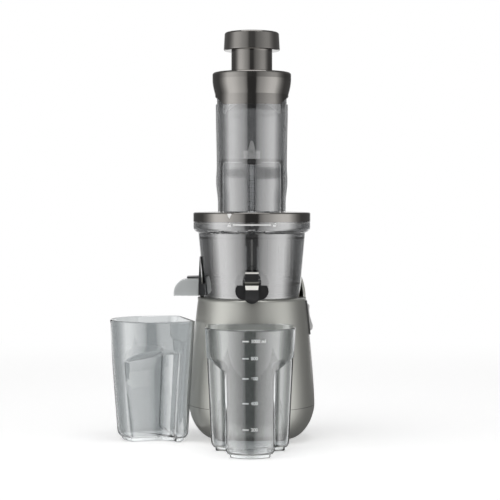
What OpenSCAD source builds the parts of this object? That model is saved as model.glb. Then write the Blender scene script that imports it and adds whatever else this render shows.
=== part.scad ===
// Cold press juicer with its juice jug and pulp container.
// Millimetres, +Z up. The origin is on the floor, on the centre line of the motor base.
// The juice outlet faces -Y and the pulp spout points to -X.

/* [Motor base] */
// Radius of the base at its widest, along the seam
base_r = 77; // [75:0.5:80]
// Radius of the base just under the deck
base_top_r = 66.3; // [65:0.1:69]
// Radius of the round that leads to the flat underside
base_foot_r = 45; // [42:0.5:48]
// Height of the seam between shell and dish
seam_z = 43; // [41:0.5:46]
// Height of the flat deck under the bowl
deck_z = 174; // [173:0.5:180]
// Rounding between the side and the deck
shoulder_r = 4; // [3:0.5:5]
// Height of the raised rear of the shell
riser_z = 206; // [200:0.5:208]
// Wall of the base mouldings
base_wall = 3; // [2.4:0.1:3.4]
// Height of the rubber feet under the dish
foot_h = 4; // [3:0.5:6]
// Radius of a rubber foot
foot_r = 8; // [6:0.5:9]

/* [Rocker switch] */
// Height of the centre of the switch
rocker_z = 149.5; // [147:0.5:152]
// Height of the rocker itself
rocker_h = 33; // [30:0.5:34]
// Width of the rocker
rocker_w = 16; // [12:0.5:18]
// How far the lower end stands out of the base
rocker_out = 5; // [3:0.5:6]

/* [Drive] */
// Module of all the reduction gears
gear_module = 1; // [0.9:0.05:1.05]
// Teeth of the motor pinion
pinion_teeth = 12; // [12:1:14]
// Teeth of the pinion on the lay gear
lay_pinion_teeth = 14; // [12:1:16]
// Teeth of the two reduction gears together with their pinions
pair_teeth = 64; // [60:1:64]
// Radius of the motor shaft
motor_shaft_r = 5; // [4.5:0.1:5.5]
// Radius of the drive shaft that turns the auger
drive_r = 8; // [7.5:0.1:8.2]
// Width across the flats of the hexagon end
hex_w = 12; // [11:0.2:13]
// Radius of the stator stack
stator_r = 42; // [38:0.5:43]

/* [Juice bowl] */
// Radius of the bowl and lid flanges
flange_r = 72; // [71:0.5:75]
// Radius of the bowl where it stands on the deck
bowl_foot_r = 58.8; // [58:0.1:60]
// Radius of the bowl wall under the flange
bowl_top_r = 65.7; // [65:0.1:67]
// Height of the bowl floor above the deck
floor_rise = 16.6; // [16:0.1:18]
// Height of the bowl above the deck
bowl_h = 92.1; // [91:0.1:96]
// Wall of the bowl
bowl_wall = 2.6; // [2.2:0.1:2.8]
// Radius of the juice nozzle
nozzle_r = 11; // [10:0.5:12]
// Radius of the round flange at the root of the nozzle
nozzle_flange_r = 20; // [18:0.5:21]

/* [Strainer, brush and auger] */
// Outer radius of the strainer
strainer_r = 45; // [44.5:0.1:45.4]
// Upright slots around the strainer
strainer_slots = 20; // [12:1:24]
// Width of a strainer slot
slot_w = 2.6; // [2:0.1:3.2]
// Radius of the auger flights
flight_r = 41.5; // [39:0.1:41.8]
// Climb of a flight in one turn
flight_pitch = 40; // [36:1:46]
// Radius of the steel rod in the auger
rod_r = 4.5; // [4:0.1:4.8]
// Module of the gears under the strainer
brush_module = 1.5; // [1.4:0.05:1.52]

/* [Lid and feed chute] */
// Height of the lid ring
lid_h = 12.9; // [12:0.1:14]
// Radius of the chute where it leaves the lid
chute_low_r = 41.9; // [41.5:0.1:42.5]
// Radius of the chute at its bulge
chute_bulge_r = 44.1; // [43.8:0.1:44.8]
// Radius of the chute at its waist
chute_waist_r = 43.4; // [43:0.1:43.8]
// Radius of the chute under the collar
chute_top_r = 44.4; // [44:0.1:45]
// Height of the chute above the lid
chute_h = 160; // [155:1:168]
// Wall of the chute
chute_wall = 2.5; // [2:0.1:2.7]
// Height of the bridge crown above the lid
bridge_h = 63.7; // [60:0.1:66]
// Width of the bridge, front to back
bridge_w = 22; // [18:0.5:26]
// Thickness of the bridge
bridge_t = 4; // [3:0.1:5]

/* [Collar and pusher] */
// Height of the collar's top above the lid
collar_rise = 169.1; // [165:0.1:175]
// Radius of the top of the collar
collar_r = 48.3; // [47.5:0.1:50]
// Height of the collar
collar_h = 40.4; // [38:0.1:43]
// Radius of the pusher stem
stem_r = 25.1; // [23:0.1:26]
// Radius of the pusher cap
cap_r = 34.4; // [32:0.1:36]
// Height of the pusher cap
cap_h = 25.3; // [22:0.1:28]
// Stem that shows between collar and cap
stem_show = 26.3; // [20:0.1:40]
// Wall of the collar and the pusher
collar_wall = 2.4; // [2:0.1:3]

/* [Jug and container] */
// Width of the jug at the rim
jug_w = 105; // [100:0.5:108]
// Width of the jug at the foot
jug_foot_w = 90; // [86:0.5:94]
// Depth of the jug at the foot
jug_foot_d = 80; // [76:0.5:84]
// Depth of the jug at the rim
jug_d = 97; // [94:0.5:100]
// Height of the jug
jug_h = 147; // [142:0.5:152]
// Wall of the jug
jug_wall = 2.2; // [1.8:0.1:2.6]
// Half the width of the nose between the finger recesses
nose_half = 28; // [26:0.5:30]
// Turn of the pulp container against the jug
container_turn = 75; // [70:1:80]

/* [Hidden] */
$fn = 96;
// Running clearance of shafts in their bores
fit_run = 0.05;
// Gap between pieces that move apart
seat_gap = 0.3;
// Overrun of the cuts
over = 1;

// Base outline
dish_round_share = 1.7;
shell_curve_share = 1.4;
curve_steps = 22;
shell_top_z = deck_z - shoulder_r;
dish_floor_z = foot_h + base_wall;
deck_under_z = deck_z - base_wall;
deck_hole_r = 14;
deck_ring_r = 50;
deck_ring_h = 2.2;
deck_ring_w = 3;

function shell_r(z) =
    base_r - (base_r - base_top_r) * pow(max(0, z - seam_z) / (shell_top_z - seam_z), shell_curve_share);
function dish_r(z) =
    base_foot_r + (base_r - base_foot_r)
    * sqrt(max(0, 1 - pow((seam_z - z) / (seam_z - foot_h + dish_flat), dish_round_share)));
dish_flat = 3;

// Feet and screws
foot_ring_r = 48;
foot_count = 4;
screw_r = 2;
screw_head_r = 3.6;
screw_ring_r = 36;
screw_h = 8;
screw_boss_r = 5;

// Cord gland
gland_r = 6;
gland_bore_r = 3.6;
gland_z = 26;
gland_len = 14;
gland_lip_r = 8;
gland_lip_h = 2;

// Rocker
rocker_tilt = atan((shell_r(rocker_z - rocker_h / 2) - shell_r(rocker_z + rocker_h / 2)) / rocker_h);
rocker_gap = 0.6;
frame_rim = 1.5;
frame_lip = 1.6;
frame_lip_h = 1;
frame_sink = 1.4;
frame_depth = 9;
pivot_in = 3;
pivot_r = 1.5;
rocker_deep = 4;

// Motor
bracket_z = 20;
bracket_t = 3;
bracket_r = 54;
bracket_post_r = 44;
bracket_leg_r = 4.5;
bracket_wall = 3;
rotor_gap = 0.6;
rotor_r = 20.4;
stack_z = 31;
stack_h = 42;
winding_in_r = 23.5;
winding_out_r = 36;
winding_h = 6.5;
boss_h = 3;
boss_wall = 4;
shaft_foot_z = 9.5;
fan_r = screw_ring_r - screw_boss_r - base_wall / 2;
fan_hub_r = 9;
fan_h = 6;
fan_blades = 9;
fan_blade_t = 1.6;

// Gearbox
tray_z = 86;
tray_t = 3;
tray_leg_r = 4;
tray_leg_ring_r = 49;
cover_gap = 3.6;
cover_wall = 2.5;
cover_top_z = 118;
cover_r = min(shell_r(tray_z), shell_r(cover_top_z + base_wall)) - base_wall - cover_gap;
cover_boss_r = 14;
cover_boss_h = 18;
lay_r = 3;
stage_one_z = 94;
stage_one_h = 7;
stage_two_z = 102.5;
stage_two_h = 11;
gear_gap = 1;
bush_wall = 2;
shaft_turn_r = 4;
backlash_share = 0.08;
post_ring_r = 56;
post_r = 4;
lay_distance = gear_module * pair_teeth / 2;
lay_teeth = pair_teeth - pinion_teeth;
output_teeth = pair_teeth - lay_pinion_teeth;
output_hub_r = 12;

// Bowl
bowl_z = deck_z + seat_gap;
floor_z = deck_z + floor_rise;
floor_top_z = floor_z + bowl_wall;
bowl_top_z = deck_z + bowl_h;
flange_h = 6.4;
flange_round = 4;
neck_drop = 14;
neck_r = 12;
neck_bore_r = 9.6;
neck_h = 4;
seal_wall = 1.2;
hex_z = floor_top_z + neck_h - seat_gap;
hex_h = 26;
ledge_w = 3.5;
ledge_h = 3;
nozzle_tilt = 22;
nozzle_wall = 3;
nozzle_tip_y = -84;
nozzle_tip_z = 187.5;
nozzle_len = 34;
nozzle_flange_t = 1.6;
nozzle_flange_z = 192;
lug_w = 2.6;
lug_h = 2;
lug_angle = 24;
lug_count = 4;

// Pulp way
duct_half = 14;
duct_wall = 2;
duct_z = deck_z + deck_ring_h + 0.8 * seat_gap;
duct_out_x = 67;
chute_hole_near = 18;
chute_hole_far = 29;
chute_hole_half = 8;
hood_top_z = 224;
hood_x = 64.7;
hood_z = 200;
hood_tip_x = 79;
spout_x = 95;
spout_root_x = hood_x + seat_gap;
spout_top_z = 197;
spout_low_z = 176.4;
spout_wall = 2;
spout_half = duct_half + seat_gap + spout_wall;
spout_round = 17;

// Brush drive
sun_teeth = 20;
idler_teeth = 12;
ring_teeth = sun_teeth + 2 * idler_teeth;
brush_gear_z = floor_top_z + neck_h + seat_gap;
brush_gear_h = 5.5;
idler_distance = brush_module * (sun_teeth + idler_teeth) / 2;
idler_pin_r = 2.5;
idler_boss_r = 4;
ring_wall = 3.6;
strainer_z = brush_gear_z + brush_gear_h + 2;
strainer_floor_t = 2;
strainer_wall = 1.8;
strainer_top_z = 253;
strainer_flange_t = 2.3;
slot_low_z = 210;
slot_high_z = 236;
mesh_t = 0.4;
brush_in_r = 47.5;
brush_out_r = 50;
brush_top_z = 248;
brush_band = 3;
brush_posts = 6;
brush_post_angle = 16;
wiper_count = 3;
wiper_angle = 30;
wiper_t = 2.4;
wiper_reach = 57.3;

// Auger
auger_disc_z = strainer_z + strainer_floor_t + 1;
auger_disc_t = 3.5;
auger_neck_r = 12.6;
auger_top_z = 262;
core_low_r = 30;
core_top_r = 12;
flight_t = 4;
flight_root_share = 0.5;
flight_count = 2;
flight_steps = 44;
flight_top_r = 33;
hex_play = 0.3;
rod_low_z = 232;

// Lid
lid_plate_t = 3;
lid_z = bowl_top_z + seat_gap;
lid_top_z = lid_z + lid_h;
lid_hole_r = 36;
skirt_r = 60.6;
skirt_wall = 2.5;
skirt_h = 9.4;
tab_w = 1.8;
tab_h = 3;
plate_r = flange_r - bowl_wall - 2 * seat_gap;
seal_z = bowl_top_z + seat_gap - lid_plate_t / 2;
lid_ring_wall = 3;
lid_crown = 1.2;
lid_round = 2;
seal_r = 1.1;
tube_step = 1.4;
chute_top_z = lid_top_z + chute_h;
bridge_top_z = lid_top_z + bridge_h;
bridge_round = 8;
hub_r = 12;
hub_drop = 3;
bridge_bore_play = 0.7;
knurl_r = 10;
knurl_h = 10;
knurl_count = 24;
knurl_depth_share = 0.05;
cone_h = 12.5;
cone_low_r = 4.6;
cone_top_r = 1.9;
rod_above = 7;

// Collar and pusher
collar_top_z = lid_top_z + collar_rise;
collar_low_z = collar_top_z - collar_h;
collar_edge = 3;
hem_r = 45;
hem_notch = 11;
hem_side_z = collar_low_z + hem_notch;
hem_out_r = chute_top_r + 0.6;
collar_taper_z = hem_side_z + 2 * over;
collar_taper_h = 32;
collar_round_z = collar_low_z + collar_taper_h;
liner_r = 35.2;
liner_wall = 1.8;
liner_drop = 9;
liner_low_z = collar_low_z - liner_drop;
liner_arch_r = 38.6;
liner_arch_drop = 20;
lip_h = 1.6;
lip_angle = 44;
stem_lift = 8;
stem_low_z = collar_low_z + stem_lift;
cap_z = collar_top_z + stem_show;
cap_round = 3;
cap_crown = 2.6;
groove_w = 4;
groove_d = 1;

// Outlet cap
rod_y = -88;
rod_z = 195.2;
rod_pin_r = 2.1;
rod_len = 20.4;
arm_w = 2;
arm_r = 3.1;
bracket_half = 7.5;
bracket_high_z = 208.3;
bracket_deep = 9;
cap_y = nozzle_tip_y - seat_gap;
cap_t = 7.5;
cap_lobe_r = 10.5;
cap_lobe_x = 9;
cap_lobe_z = 186.4;
cap_chin_r = 9;
cap_chin_z = 180.5;
tongue_half = 8;
tongue_out = 5;
plug_r = 6;
plug_t = 2;

// Jug
vessel_gap = 4.5;
vessel_clear_r = max(base_r, base_top_r) + vessel_gap;
jug_x = -2;
jug_y = -vessel_clear_r;
container_x = -vessel_clear_r - vessel_gap;
container_y = 10;
jug_corner_r = 16;
jug_foot_inset = 5;
jug_foot_h = 4;
jug_round_h = 8;
rim_curve_d = 52;
wing_y = 17;
wing_round = 4;
recess_mid_x = 20;
recess_mid_y = 22;
nose_corner_y = 12;
ledge_z = 107;
ledge_drop = 10.6;
ledge_slope = 6;

// Shapes shared by several pieces

module ring(r_out, r_in, z, h) {
    translate([0, 0, z])
        difference() {
            cylinder(r = r_out, h = h);
            translate([0, 0, -over])
                cylinder(r = r_in, h = h + 2 * over);
        }
}

module sector(r_out, r_in, z, h, angle, span) {
    rotate([0, 0, angle - span / 2])
        translate([0, 0, z])
            rotate_extrude(angle = span)
                translate([r_in, 0])
                    square([r_out - r_in, h]);
}

module around(count, first = 0) {
    for (i = [0 : count - 1])
        rotate([0, 0, first + i * 360 / count])
            children();
}

// Involute gear outlines. The involute function gives degrees.
pressure_angle = 25;
tooth_steps = 4;

function involute(ratio) = sqrt(max(0, ratio * ratio - 1)) * 180 / PI - acos(min(1, 1 / ratio));
function half_tooth(teeth, r_share, slack) =
    90 / teeth * (1 - slack) + involute(1 / cos(pressure_angle))
    - involute(max(1, r_share / cos(pressure_angle)));

function gear_points(teeth, m, tip_share, root_share, slack) =
    let (pitch = m * teeth / 2,
         low = max(pitch * cos(pressure_angle), pitch - root_share * m),
         root = pitch - root_share * m,
         tip = pitch + tip_share * m)
    [for (i = [0 : teeth - 1])
        let (mid = i * 360 / teeth)
        each concat(
            [root * [cos(mid - half_tooth(teeth, low / pitch, slack)),
                     sin(mid - half_tooth(teeth, low / pitch, slack))]],
            [for (k = [1 : tooth_steps])
                let (r = low + (tip - low) * k / tooth_steps,
                     a = mid - half_tooth(teeth, r / pitch, slack))
                r * [cos(a), sin(a)]],
            [for (k = [tooth_steps : -1 : 1])
                let (r = low + (tip - low) * k / tooth_steps,
                     a = mid + half_tooth(teeth, r / pitch, slack))
                r * [cos(a), sin(a)]],
            [root * [cos(mid + half_tooth(teeth, low / pitch, slack)),
                     sin(mid + half_tooth(teeth, low / pitch, slack))]])];

module gear(teeth, m, z, h) {
    translate([0, 0, z])
        linear_extrude(h)
            polygon(gear_points(teeth, m, tip_clear_share, root_clear_share, backlash_share));
}
tip_clear_share = 0.95;
root_clear_share = 1.25;

// Base

module base_shell() {
    deck_points = [for (a = [0 : 15 : 90])
        [base_top_r - shoulder_r + shoulder_r * cos(a), shell_top_z + shoulder_r * sin(a)]];
    color("#8f908a")
    difference() {
        union() {
            rotate_extrude()
                polygon(concat(
                    [for (i = [0 : curve_steps])
                        let (z = seam_z + (shell_top_z - seam_z) * i / curve_steps)
                        [shell_r(z), z]],
                    deck_points,
                    [[deck_hole_r, deck_z], [deck_hole_r, deck_under_z],
                     [base_top_r - shoulder_r - base_wall, deck_under_z]],
                    [for (i = [curve_steps : -1 : 0])
                        let (z = seam_z + (shell_top_z - shoulder_r - seam_z) * i / curve_steps)
                        [shell_r(z) - base_wall, z]]));
            ring(deck_ring_r, deck_ring_r - deck_ring_w, deck_z, deck_ring_h);
            base_riser();
            around(foot_count, 45)
                translate([post_ring_r, 0, cover_top_z + base_wall])
                    cylinder(r = post_r, h = deck_under_z - cover_top_z - base_wall);
        }
        rocker_place()
            rocker_hole();
        translate([-hood_tip_x, -duct_half - over, duct_z - over])
            cube([hood_tip_x - bowl_foot_r, 2 * duct_half + 2 * over, riser_z - duct_z]);
    }
}

// The rear of the shell rises behind the bowl and is cut off slanting towards the front.
module base_riser() {
    riser_in_r = base_top_r - base_wall;
    difference() {
        rotate_extrude()
            polygon([[riser_in_r, shell_top_z], [base_top_r, shell_top_z],
                     [base_top_r, riser_z - base_wall / 2],
                     [base_top_r - base_wall / 2, riser_z], [riser_in_r, riser_z]]);
        translate([0, 0, deck_z])
            rotate([45, 0, 0])
                translate([-base_r, -2 * base_r, 0])
                    cube([2 * base_r, 4 * base_r, 2 * base_r]);
        translate([-2 * base_r - duct_half, -base_r, deck_z])
            cube([2 * base_r, base_r + spout_half + over, base_r]);
        translate([-base_r, -2 * base_r, shell_top_z + over])
            cube([2 * base_r, 2 * base_r, base_r]);
    }
}

module rocker_place() {
    translate([shell_r(rocker_z), 0, rocker_z])
        rotate([0, -rocker_tilt, 0])
            children();
}

frame_in_w = rocker_w + 2 * rocker_gap;
frame_in_h = rocker_h + 4 * rocker_gap;
frame_w = frame_in_w + 2 * frame_rim;
frame_h = frame_in_h + 2 * frame_rim;

module upright_box(x0, x1, w, h) {
    translate([x0, -w / 2, -h / 2])
        cube([x1 - x0, w, h]);
}

module rocker_hole() {
    upright_box(-frame_depth - over, base_wall, frame_w + seat_gap, frame_h + seat_gap);
    upright_box(-frame_sink, base_wall, frame_w + 2 * frame_lip + seat_gap,
                frame_h + 2 * frame_lip + seat_gap);
}

module rocker_frame() {
    color("#1c1c1e")
    rocker_place()
        difference() {
            union() {
                upright_box(-frame_depth, 0, frame_w, frame_h);
                upright_box(-frame_sink, frame_lip_h, frame_w + 2 * frame_lip, frame_h + 2 * frame_lip);
            }
            upright_box(-frame_depth + frame_rim, frame_lip_h + over, frame_in_w, frame_in_h);
            translate([-pivot_in, 0, 0])
                rotate([90, 0, 0])
                    cylinder(r = pivot_r + fit_run, h = frame_w + 2 * over, center = true);
        }
}

module rocker_switch() {
    half = rocker_h / 2;
    color("#d8d8d6")
    rocker_place()
        union() {
            translate([0, rocker_w / 2, 0])
                rotate([90, 0, 0])
                    linear_extrude(rocker_w)
                        polygon([[-rocker_deep, -half * 0.7], [0.3 * rocker_out, -half],
                                 [0.8 * rocker_out, -0.88 * half], [rocker_out, -0.64 * half],
                                 [0.82 * rocker_out, -0.4 * half], [0.5 * rocker_out, 0.1 * half],
                                 [0.5 * rocker_out, 0.55 * half], [0.7 * rocker_out, 0.85 * half],
                                 [0.5 * rocker_out, 0.97 * half], [0, half], [-rocker_deep, half * 0.7]]);
            translate([-pivot_in, 0, 0])
                rotate([90, 0, 0])
                    cylinder(r = pivot_r, h = frame_w, center = true);
        }
}

module base_dish() {
    low = foot_h;
    color("#86877f")
    difference() {
        union() {
            rotate_extrude()
                polygon(concat(
                    [[0, low]],
                    [for (i = [0 : curve_steps])
                        let (z = low + (seam_z - low) * i / curve_steps)
                        [dish_r(z), z]],
                    [for (i = [curve_steps : -1 : 2])
                        let (z = low + (seam_z - low) * i / curve_steps)
                        [dish_r(z) - base_wall, z]],
                    [[dish_r(low) - base_wall, dish_floor_z], [0, dish_floor_z]]));
            around(foot_count, 45)
                translate([screw_ring_r, 0, low])
                    cylinder(r = screw_boss_r, h = screw_h);
        }
        around(foot_count, 45)
            translate([screw_ring_r, 0, low - over])
                cylinder(r = screw_r + fit_run, h = screw_h + 2 * over);
        around(foot_count, 45)
            translate([screw_ring_r, 0, low - over])
                cylinder(r = screw_head_r + fit_run, h = over + base_wall / 2);
        for (i = [-3 : 3])
            translate([i * 2 * base_wall - base_wall / 2, -screw_ring_r / 2, low - over])
                cube([base_wall, screw_ring_r, base_wall + 2 * over]);
        translate([0, base_r, gland_z])
            rotate([90, 0, 0])
                cylinder(r = gland_r + fit_run, h = base_r / 2);
    }
}

module feet() {
    color("#222222")
    around(foot_count, 45)
        translate([foot_ring_r, 0, 0])
            rotate_extrude()
                polygon([[0, 0], [foot_r - over, 0], [foot_r, over], [foot_r, foot_h], [0, foot_h]]);
}

module dish_screws() {
    color("silver")
    around(foot_count, 45)
        translate([screw_ring_r, 0, foot_h])
            difference() {
                union() {
                    cylinder(r = screw_head_r, h = base_wall / 2);
                    cylinder(r = screw_r, h = screw_h);
                }
                translate([-screw_head_r / 2, -screw_head_r / 8, -over])
                    cube([screw_head_r, screw_head_r / 4, over + base_wall / 4]);
                translate([-screw_head_r / 8, -screw_head_r / 2, -over])
                    cube([screw_head_r / 4, screw_head_r, over + base_wall / 4]);
            }
}

module cord_gland() {
    out_y = dish_r(gland_z + gland_lip_r);
    color("#1c1c1e")
    translate([0, out_y + gland_lip_h, gland_z])
        rotate([90, 0, 0])
            difference() {
                union() {
                    cylinder(r = gland_r, h = gland_len);
                    cylinder(r1 = gland_lip_r - over / 2, r2 = gland_lip_r,
                             h = gland_lip_h - base_wall / 4);
                }
                translate([0, 0, -over])
                    cylinder(r = gland_bore_r, h = gland_len + 2 * over);
            }
}

// Motor

module motor_bracket() {
    color("#9a9da0")
    difference() {
        union() {
            translate([0, 0, bracket_z])
                cylinder(r = bracket_r, h = bracket_t);
            around(foot_count)
                translate([bracket_post_r, 0, dish_floor_z])
                    cylinder(r = bracket_leg_r, h = bracket_z - dish_floor_z);
            ring(stator_r, stator_r - bracket_wall, bracket_z + bracket_t, stack_z - bracket_z - bracket_t);
            translate([0, 0, bracket_z - boss_h])
                cylinder(r = motor_shaft_r + boss_wall, h = bracket_t + 2 * boss_h);
        }
        translate([0, 0, bracket_z - boss_h - over])
            cylinder(r = motor_shaft_r + fit_run, h = bracket_t + 2 * boss_h + 2 * over);
        around(foot_count, 45)
            translate([bracket_post_r / 2, 0, bracket_z - over])
                cylinder(r = bracket_leg_r, h = bracket_t + 2 * over);
    }
}

module motor_stator() {
    color("#6d7276")
    difference() {
        translate([0, 0, stack_z])
            cylinder(r = stator_r, h = stack_h);
        translate([0, 0, stack_z - over])
            cylinder(r = rotor_r + rotor_gap, h = stack_h + 2 * over);
        around(2 * foot_count)
            translate([stator_r, 0, stack_z - over])
                cylinder(r = bracket_wall, h = stack_h + 2 * over);
    }
}

module motor_windings() {
    color("#b06a35")
    for (z = [stack_z - winding_h, stack_z + stack_h])
        translate([0, 0, z])
            rotate_extrude()
                polygon([[winding_in_r, 0], [winding_out_r - winding_h / 4, 0],
                         [winding_out_r, winding_h / 4],
                         [winding_out_r, 0.75 * winding_h], [winding_out_r - winding_h / 4, winding_h],
                         [winding_in_r, winding_h]]);
}

module motor_rotor() {
    root = gear_module * (pinion_teeth / 2 - root_clear_share);
    color("#a9adb0")
    union() {
        translate([0, 0, stack_z + over])
            cylinder(r = rotor_r, h = stack_h - 2 * over);
        translate([0, 0, shaft_foot_z])
            cylinder(r = motor_shaft_r, h = tray_z + tray_t + boss_h - shaft_foot_z);
        translate([0, 0, tray_z])
            cylinder(r = root, h = stage_one_z + stage_one_h - tray_z);
        gear(pinion_teeth, gear_module, stage_one_z, stage_one_h);
    }
}

module cooling_fan() {
    color("#2a2b2d")
    difference() {
        union() {
            translate([0, 0, shaft_foot_z])
                cylinder(r = fan_hub_r, h = fan_h);
            around(fan_blades)
                translate([fan_hub_r - over, 0, shaft_foot_z + fan_h / 2])
                    rotate([35, 0, 0])
                        translate([0, -fan_blade_t / 2, -0.4 * fan_h])
                            cube([fan_r - fan_hub_r, fan_blade_t, 0.8 * fan_h]);
        }
        translate([0, 0, shaft_foot_z - over])
            cylinder(r = motor_shaft_r + fit_run / 5, h = fan_h + 2 * over);
    }
}

// Gearbox

module gearbox_tray() {
    color("#a4a7a9")
    difference() {
        union() {
            translate([0, 0, tray_z])
                cylinder(r = cover_r, h = tray_t);
            translate([0, 0, tray_z - boss_h])
                cylinder(r = motor_shaft_r + boss_wall, h = tray_t + 2 * boss_h - over);
            around(foot_count, 45)
                translate([tray_leg_ring_r, 0, bracket_z + bracket_t])
                    cylinder(r = tray_leg_r, h = tray_z - bracket_z - bracket_t);
        }
        translate([0, 0, tray_z - boss_h - over])
            cylinder(r = motor_shaft_r + fit_run, h = tray_t + 2 * boss_h + 2 * over);
        translate([lay_distance, 0, tray_z - over])
            cylinder(r = lay_r + fit_run / 5, h = tray_t + 2 * over);
    }
}

module gearbox_cover() {
    color("#a4a7a9")
    difference() {
        union() {
            translate([0, 0, cover_top_z])
                cylinder(r = cover_r, h = base_wall);
            ring(cover_r, cover_r - cover_wall, tray_z + tray_t, cover_top_z - tray_z - tray_t);
            translate([0, 0, cover_top_z])
                cylinder(r = cover_boss_r, h = cover_boss_h);
        }
        translate([0, 0, cover_top_z - over])
            cylinder(r = drive_r + bush_wall, h = cover_boss_h + 2 * over);
        translate([lay_distance, 0, cover_top_z - over])
            cylinder(r = lay_r + fit_run / 5, h = base_wall + 2 * over);
    }
}

module shaft_bush() {
    color("#b5893c")
    ring(drive_r + bush_wall, drive_r + fit_run, cover_top_z, cover_boss_h);
}

module lay_pin() {
    color("silver")
    translate([lay_distance, 0, tray_z])
        cylinder(r = lay_r, h = cover_top_z + base_wall - tray_z);
}

module lay_gear() {
    low = tray_z + tray_t + seat_gap;
    high = stage_two_z + stage_two_h + gear_gap;
    color("#d9d4c4")
    translate([lay_distance, 0, 0])
        difference() {
            union() {
                rotate([0, 0, 180 + 180 / lay_teeth])
                    gear(lay_teeth, gear_module, stage_one_z, stage_one_h);
                rotate([0, 0, 180])
                    gear(lay_pinion_teeth, gear_module, stage_one_z, high - stage_one_z);
                translate([0, 0, low])
                    cylinder(r = lay_r + bush_wall, h = high - low);
            }
            translate([0, 0, low - over])
                cylinder(r = lay_r + fit_run, h = high - low + 2 * over);
        }
}

module output_gear() {
    color("#b9bbbd")
    difference() {
        union() {
            rotate([0, 0, 180 / output_teeth])
                gear(output_teeth, gear_module, stage_two_z + gear_gap, stage_two_h - gear_gap);
            translate([0, 0, stage_two_z + gear_gap])
                cylinder(r = output_hub_r, h = cover_top_z - seat_gap - stage_two_z - gear_gap);
        }
        translate([0, 0, stage_two_z - over])
            cylinder(r = drive_r + fit_run / 5, h = cover_top_z);
    }
}

module drive_shaft() {
    low = stage_two_z + gear_gap;
    color("#c9ccce")
    union() {
        translate([0, 0, low])
            cylinder(r = drive_r, h = hex_z - low);
        translate([0, 0, hex_z - over])
            cylinder(r = hex_w / sqrt(3), h = hex_h, $fn = 6);
    }
}

module deck_seal() {
    color("#2a2a2c")
    rotate_extrude()
        polygon([[drive_r + seat_gap, deck_under_z], [deck_hole_r, deck_under_z], [deck_hole_r, deck_z],
                 [deck_hole_r + over, deck_z], [deck_hole_r + over, deck_z + over],
                 [drive_r + 2 * over, deck_z + 2 * over], [drive_r + seat_gap, deck_z + 2 * over]]);
}

// Bowl

neck_line_z = bowl_top_z - neck_drop;
function bowl_r(z) = bowl_foot_r + (bowl_top_r - bowl_foot_r) * (z - bowl_z) / (neck_line_z - bowl_z);

module juice_bowl() {
    turn_z = bowl_top_z - flange_h - flange_h - over;
    color("#6b6f75", 0.45)
    difference() {
        union() {
            rotate_extrude()
                polygon(concat(
                    [[bowl_foot_r, bowl_z], [bowl_r(turn_z), turn_z],
                     [bowl_r(turn_z) + over, bowl_top_z - 2 * flange_h]],
                    [for (a = [-80 : 16 : 0])
                        [flange_r - flange_h + flange_h * cos(a),
                         bowl_top_z - flange_h + flange_h * sin(a)]],
                    [[flange_r, bowl_top_z], [flange_r - bowl_wall, bowl_top_z]],
                    [for (a = [0 : -16 : -80])
                        [flange_r - flange_h + (flange_h - bowl_wall) * cos(a),
                         bowl_top_z - flange_h + (flange_h - bowl_wall) * sin(a)]],
                    [[bowl_r(turn_z) - bowl_wall, turn_z], [bowl_r(floor_top_z) - bowl_wall, floor_top_z],
                     [neck_r, floor_top_z], [neck_r, floor_top_z + neck_h],
                     [neck_bore_r, floor_top_z + neck_h], [neck_bore_r, floor_z],
                     [bowl_r(floor_z) - bowl_wall, floor_z], [bowl_foot_r - bowl_wall, bowl_z]]));
            bowl_ledge();
            bowl_nozzle();
            around(lug_count, 45)
                sector(flange_r - bowl_wall - over / 2, skirt_r + seat_gap, lug_z, lug_h, 0, lug_angle);
            translate([idler_distance, 0, floor_top_z])
                cylinder(r = idler_boss_r, h = neck_h);
            translate([idler_distance, 0, floor_top_z])
                cylinder(r = idler_pin_r, h = neck_h + brush_gear_h + seat_gap);
        }
        nozzle_place()
            translate([0, 0, -nozzle_len / 2])
                cylinder(r = nozzle_r - nozzle_wall, h = 2 * nozzle_len);
        translate([-chute_hole_far - seat_gap, -chute_hole_half - seat_gap, floor_z - over])
            cube([chute_hole_far - chute_hole_near + 2 * seat_gap, 2 * chute_hole_half + 2 * seat_gap,
                  bowl_wall + 2 * over]);
        translate([-bowl_top_r - over, -duct_half, duct_z])
            cube([bowl_top_r, 2 * duct_half, floor_z - duct_z]);
    }
}
lug_z = bowl_top_z - flange_h - lug_h;

// Ledge inside the bowl wall that the strainer flange stands on
module bowl_ledge() {
    z = strainer_top_z - strainer_flange_t - ledge_h;
    rotate_extrude()
        polygon([[bowl_r(z) - bowl_wall - ledge_w, z + ledge_h],
                 [bowl_r(z) - bowl_wall - ledge_w, z + over],
                 [bowl_r(z) - over, z - ledge_h], [bowl_r(z) - over, z + ledge_h]]);
}

module nozzle_place() {
    translate([0, nozzle_tip_y, nozzle_tip_z])
        rotate([-90 + nozzle_tilt, 0, 0])
            children();
}

module bowl_nozzle() {
    difference() {
        union() {
            nozzle_place()
                translate([0, 0, -nozzle_len / 4])
                    cylinder(r = nozzle_r, h = 1.25 * nozzle_len);
            intersection() {
                translate([0, 0, nozzle_flange_z])
                    rotate([90, 0, 0])
                        cylinder(r = nozzle_flange_r, h = base_r);
                rotate_extrude()
                    polygon([[bowl_r(floor_z) - over, bowl_z], [bowl_r(bowl_z) + nozzle_flange_t, bowl_z],
                             [bowl_r(slot_low_z) + nozzle_flange_t, slot_low_z + neck_h],
                             [bowl_r(slot_low_z) - over, slot_low_z + neck_h]]);
            }
        }
        translate([-base_r, nozzle_tip_y - base_r, deck_z - base_r])
            cube([2 * base_r, base_r, 2 * base_r]);
        translate([0, 0, bowl_z - base_r])
            cylinder(r = 2 * base_r, h = base_r);
        translate([0, 0, bowl_z - over])
            cylinder(r1 = bowl_foot_r - bowl_wall, r2 = bowl_r(slot_high_z) - bowl_wall,
                     h = slot_high_z - bowl_z + over);
    }
}

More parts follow.
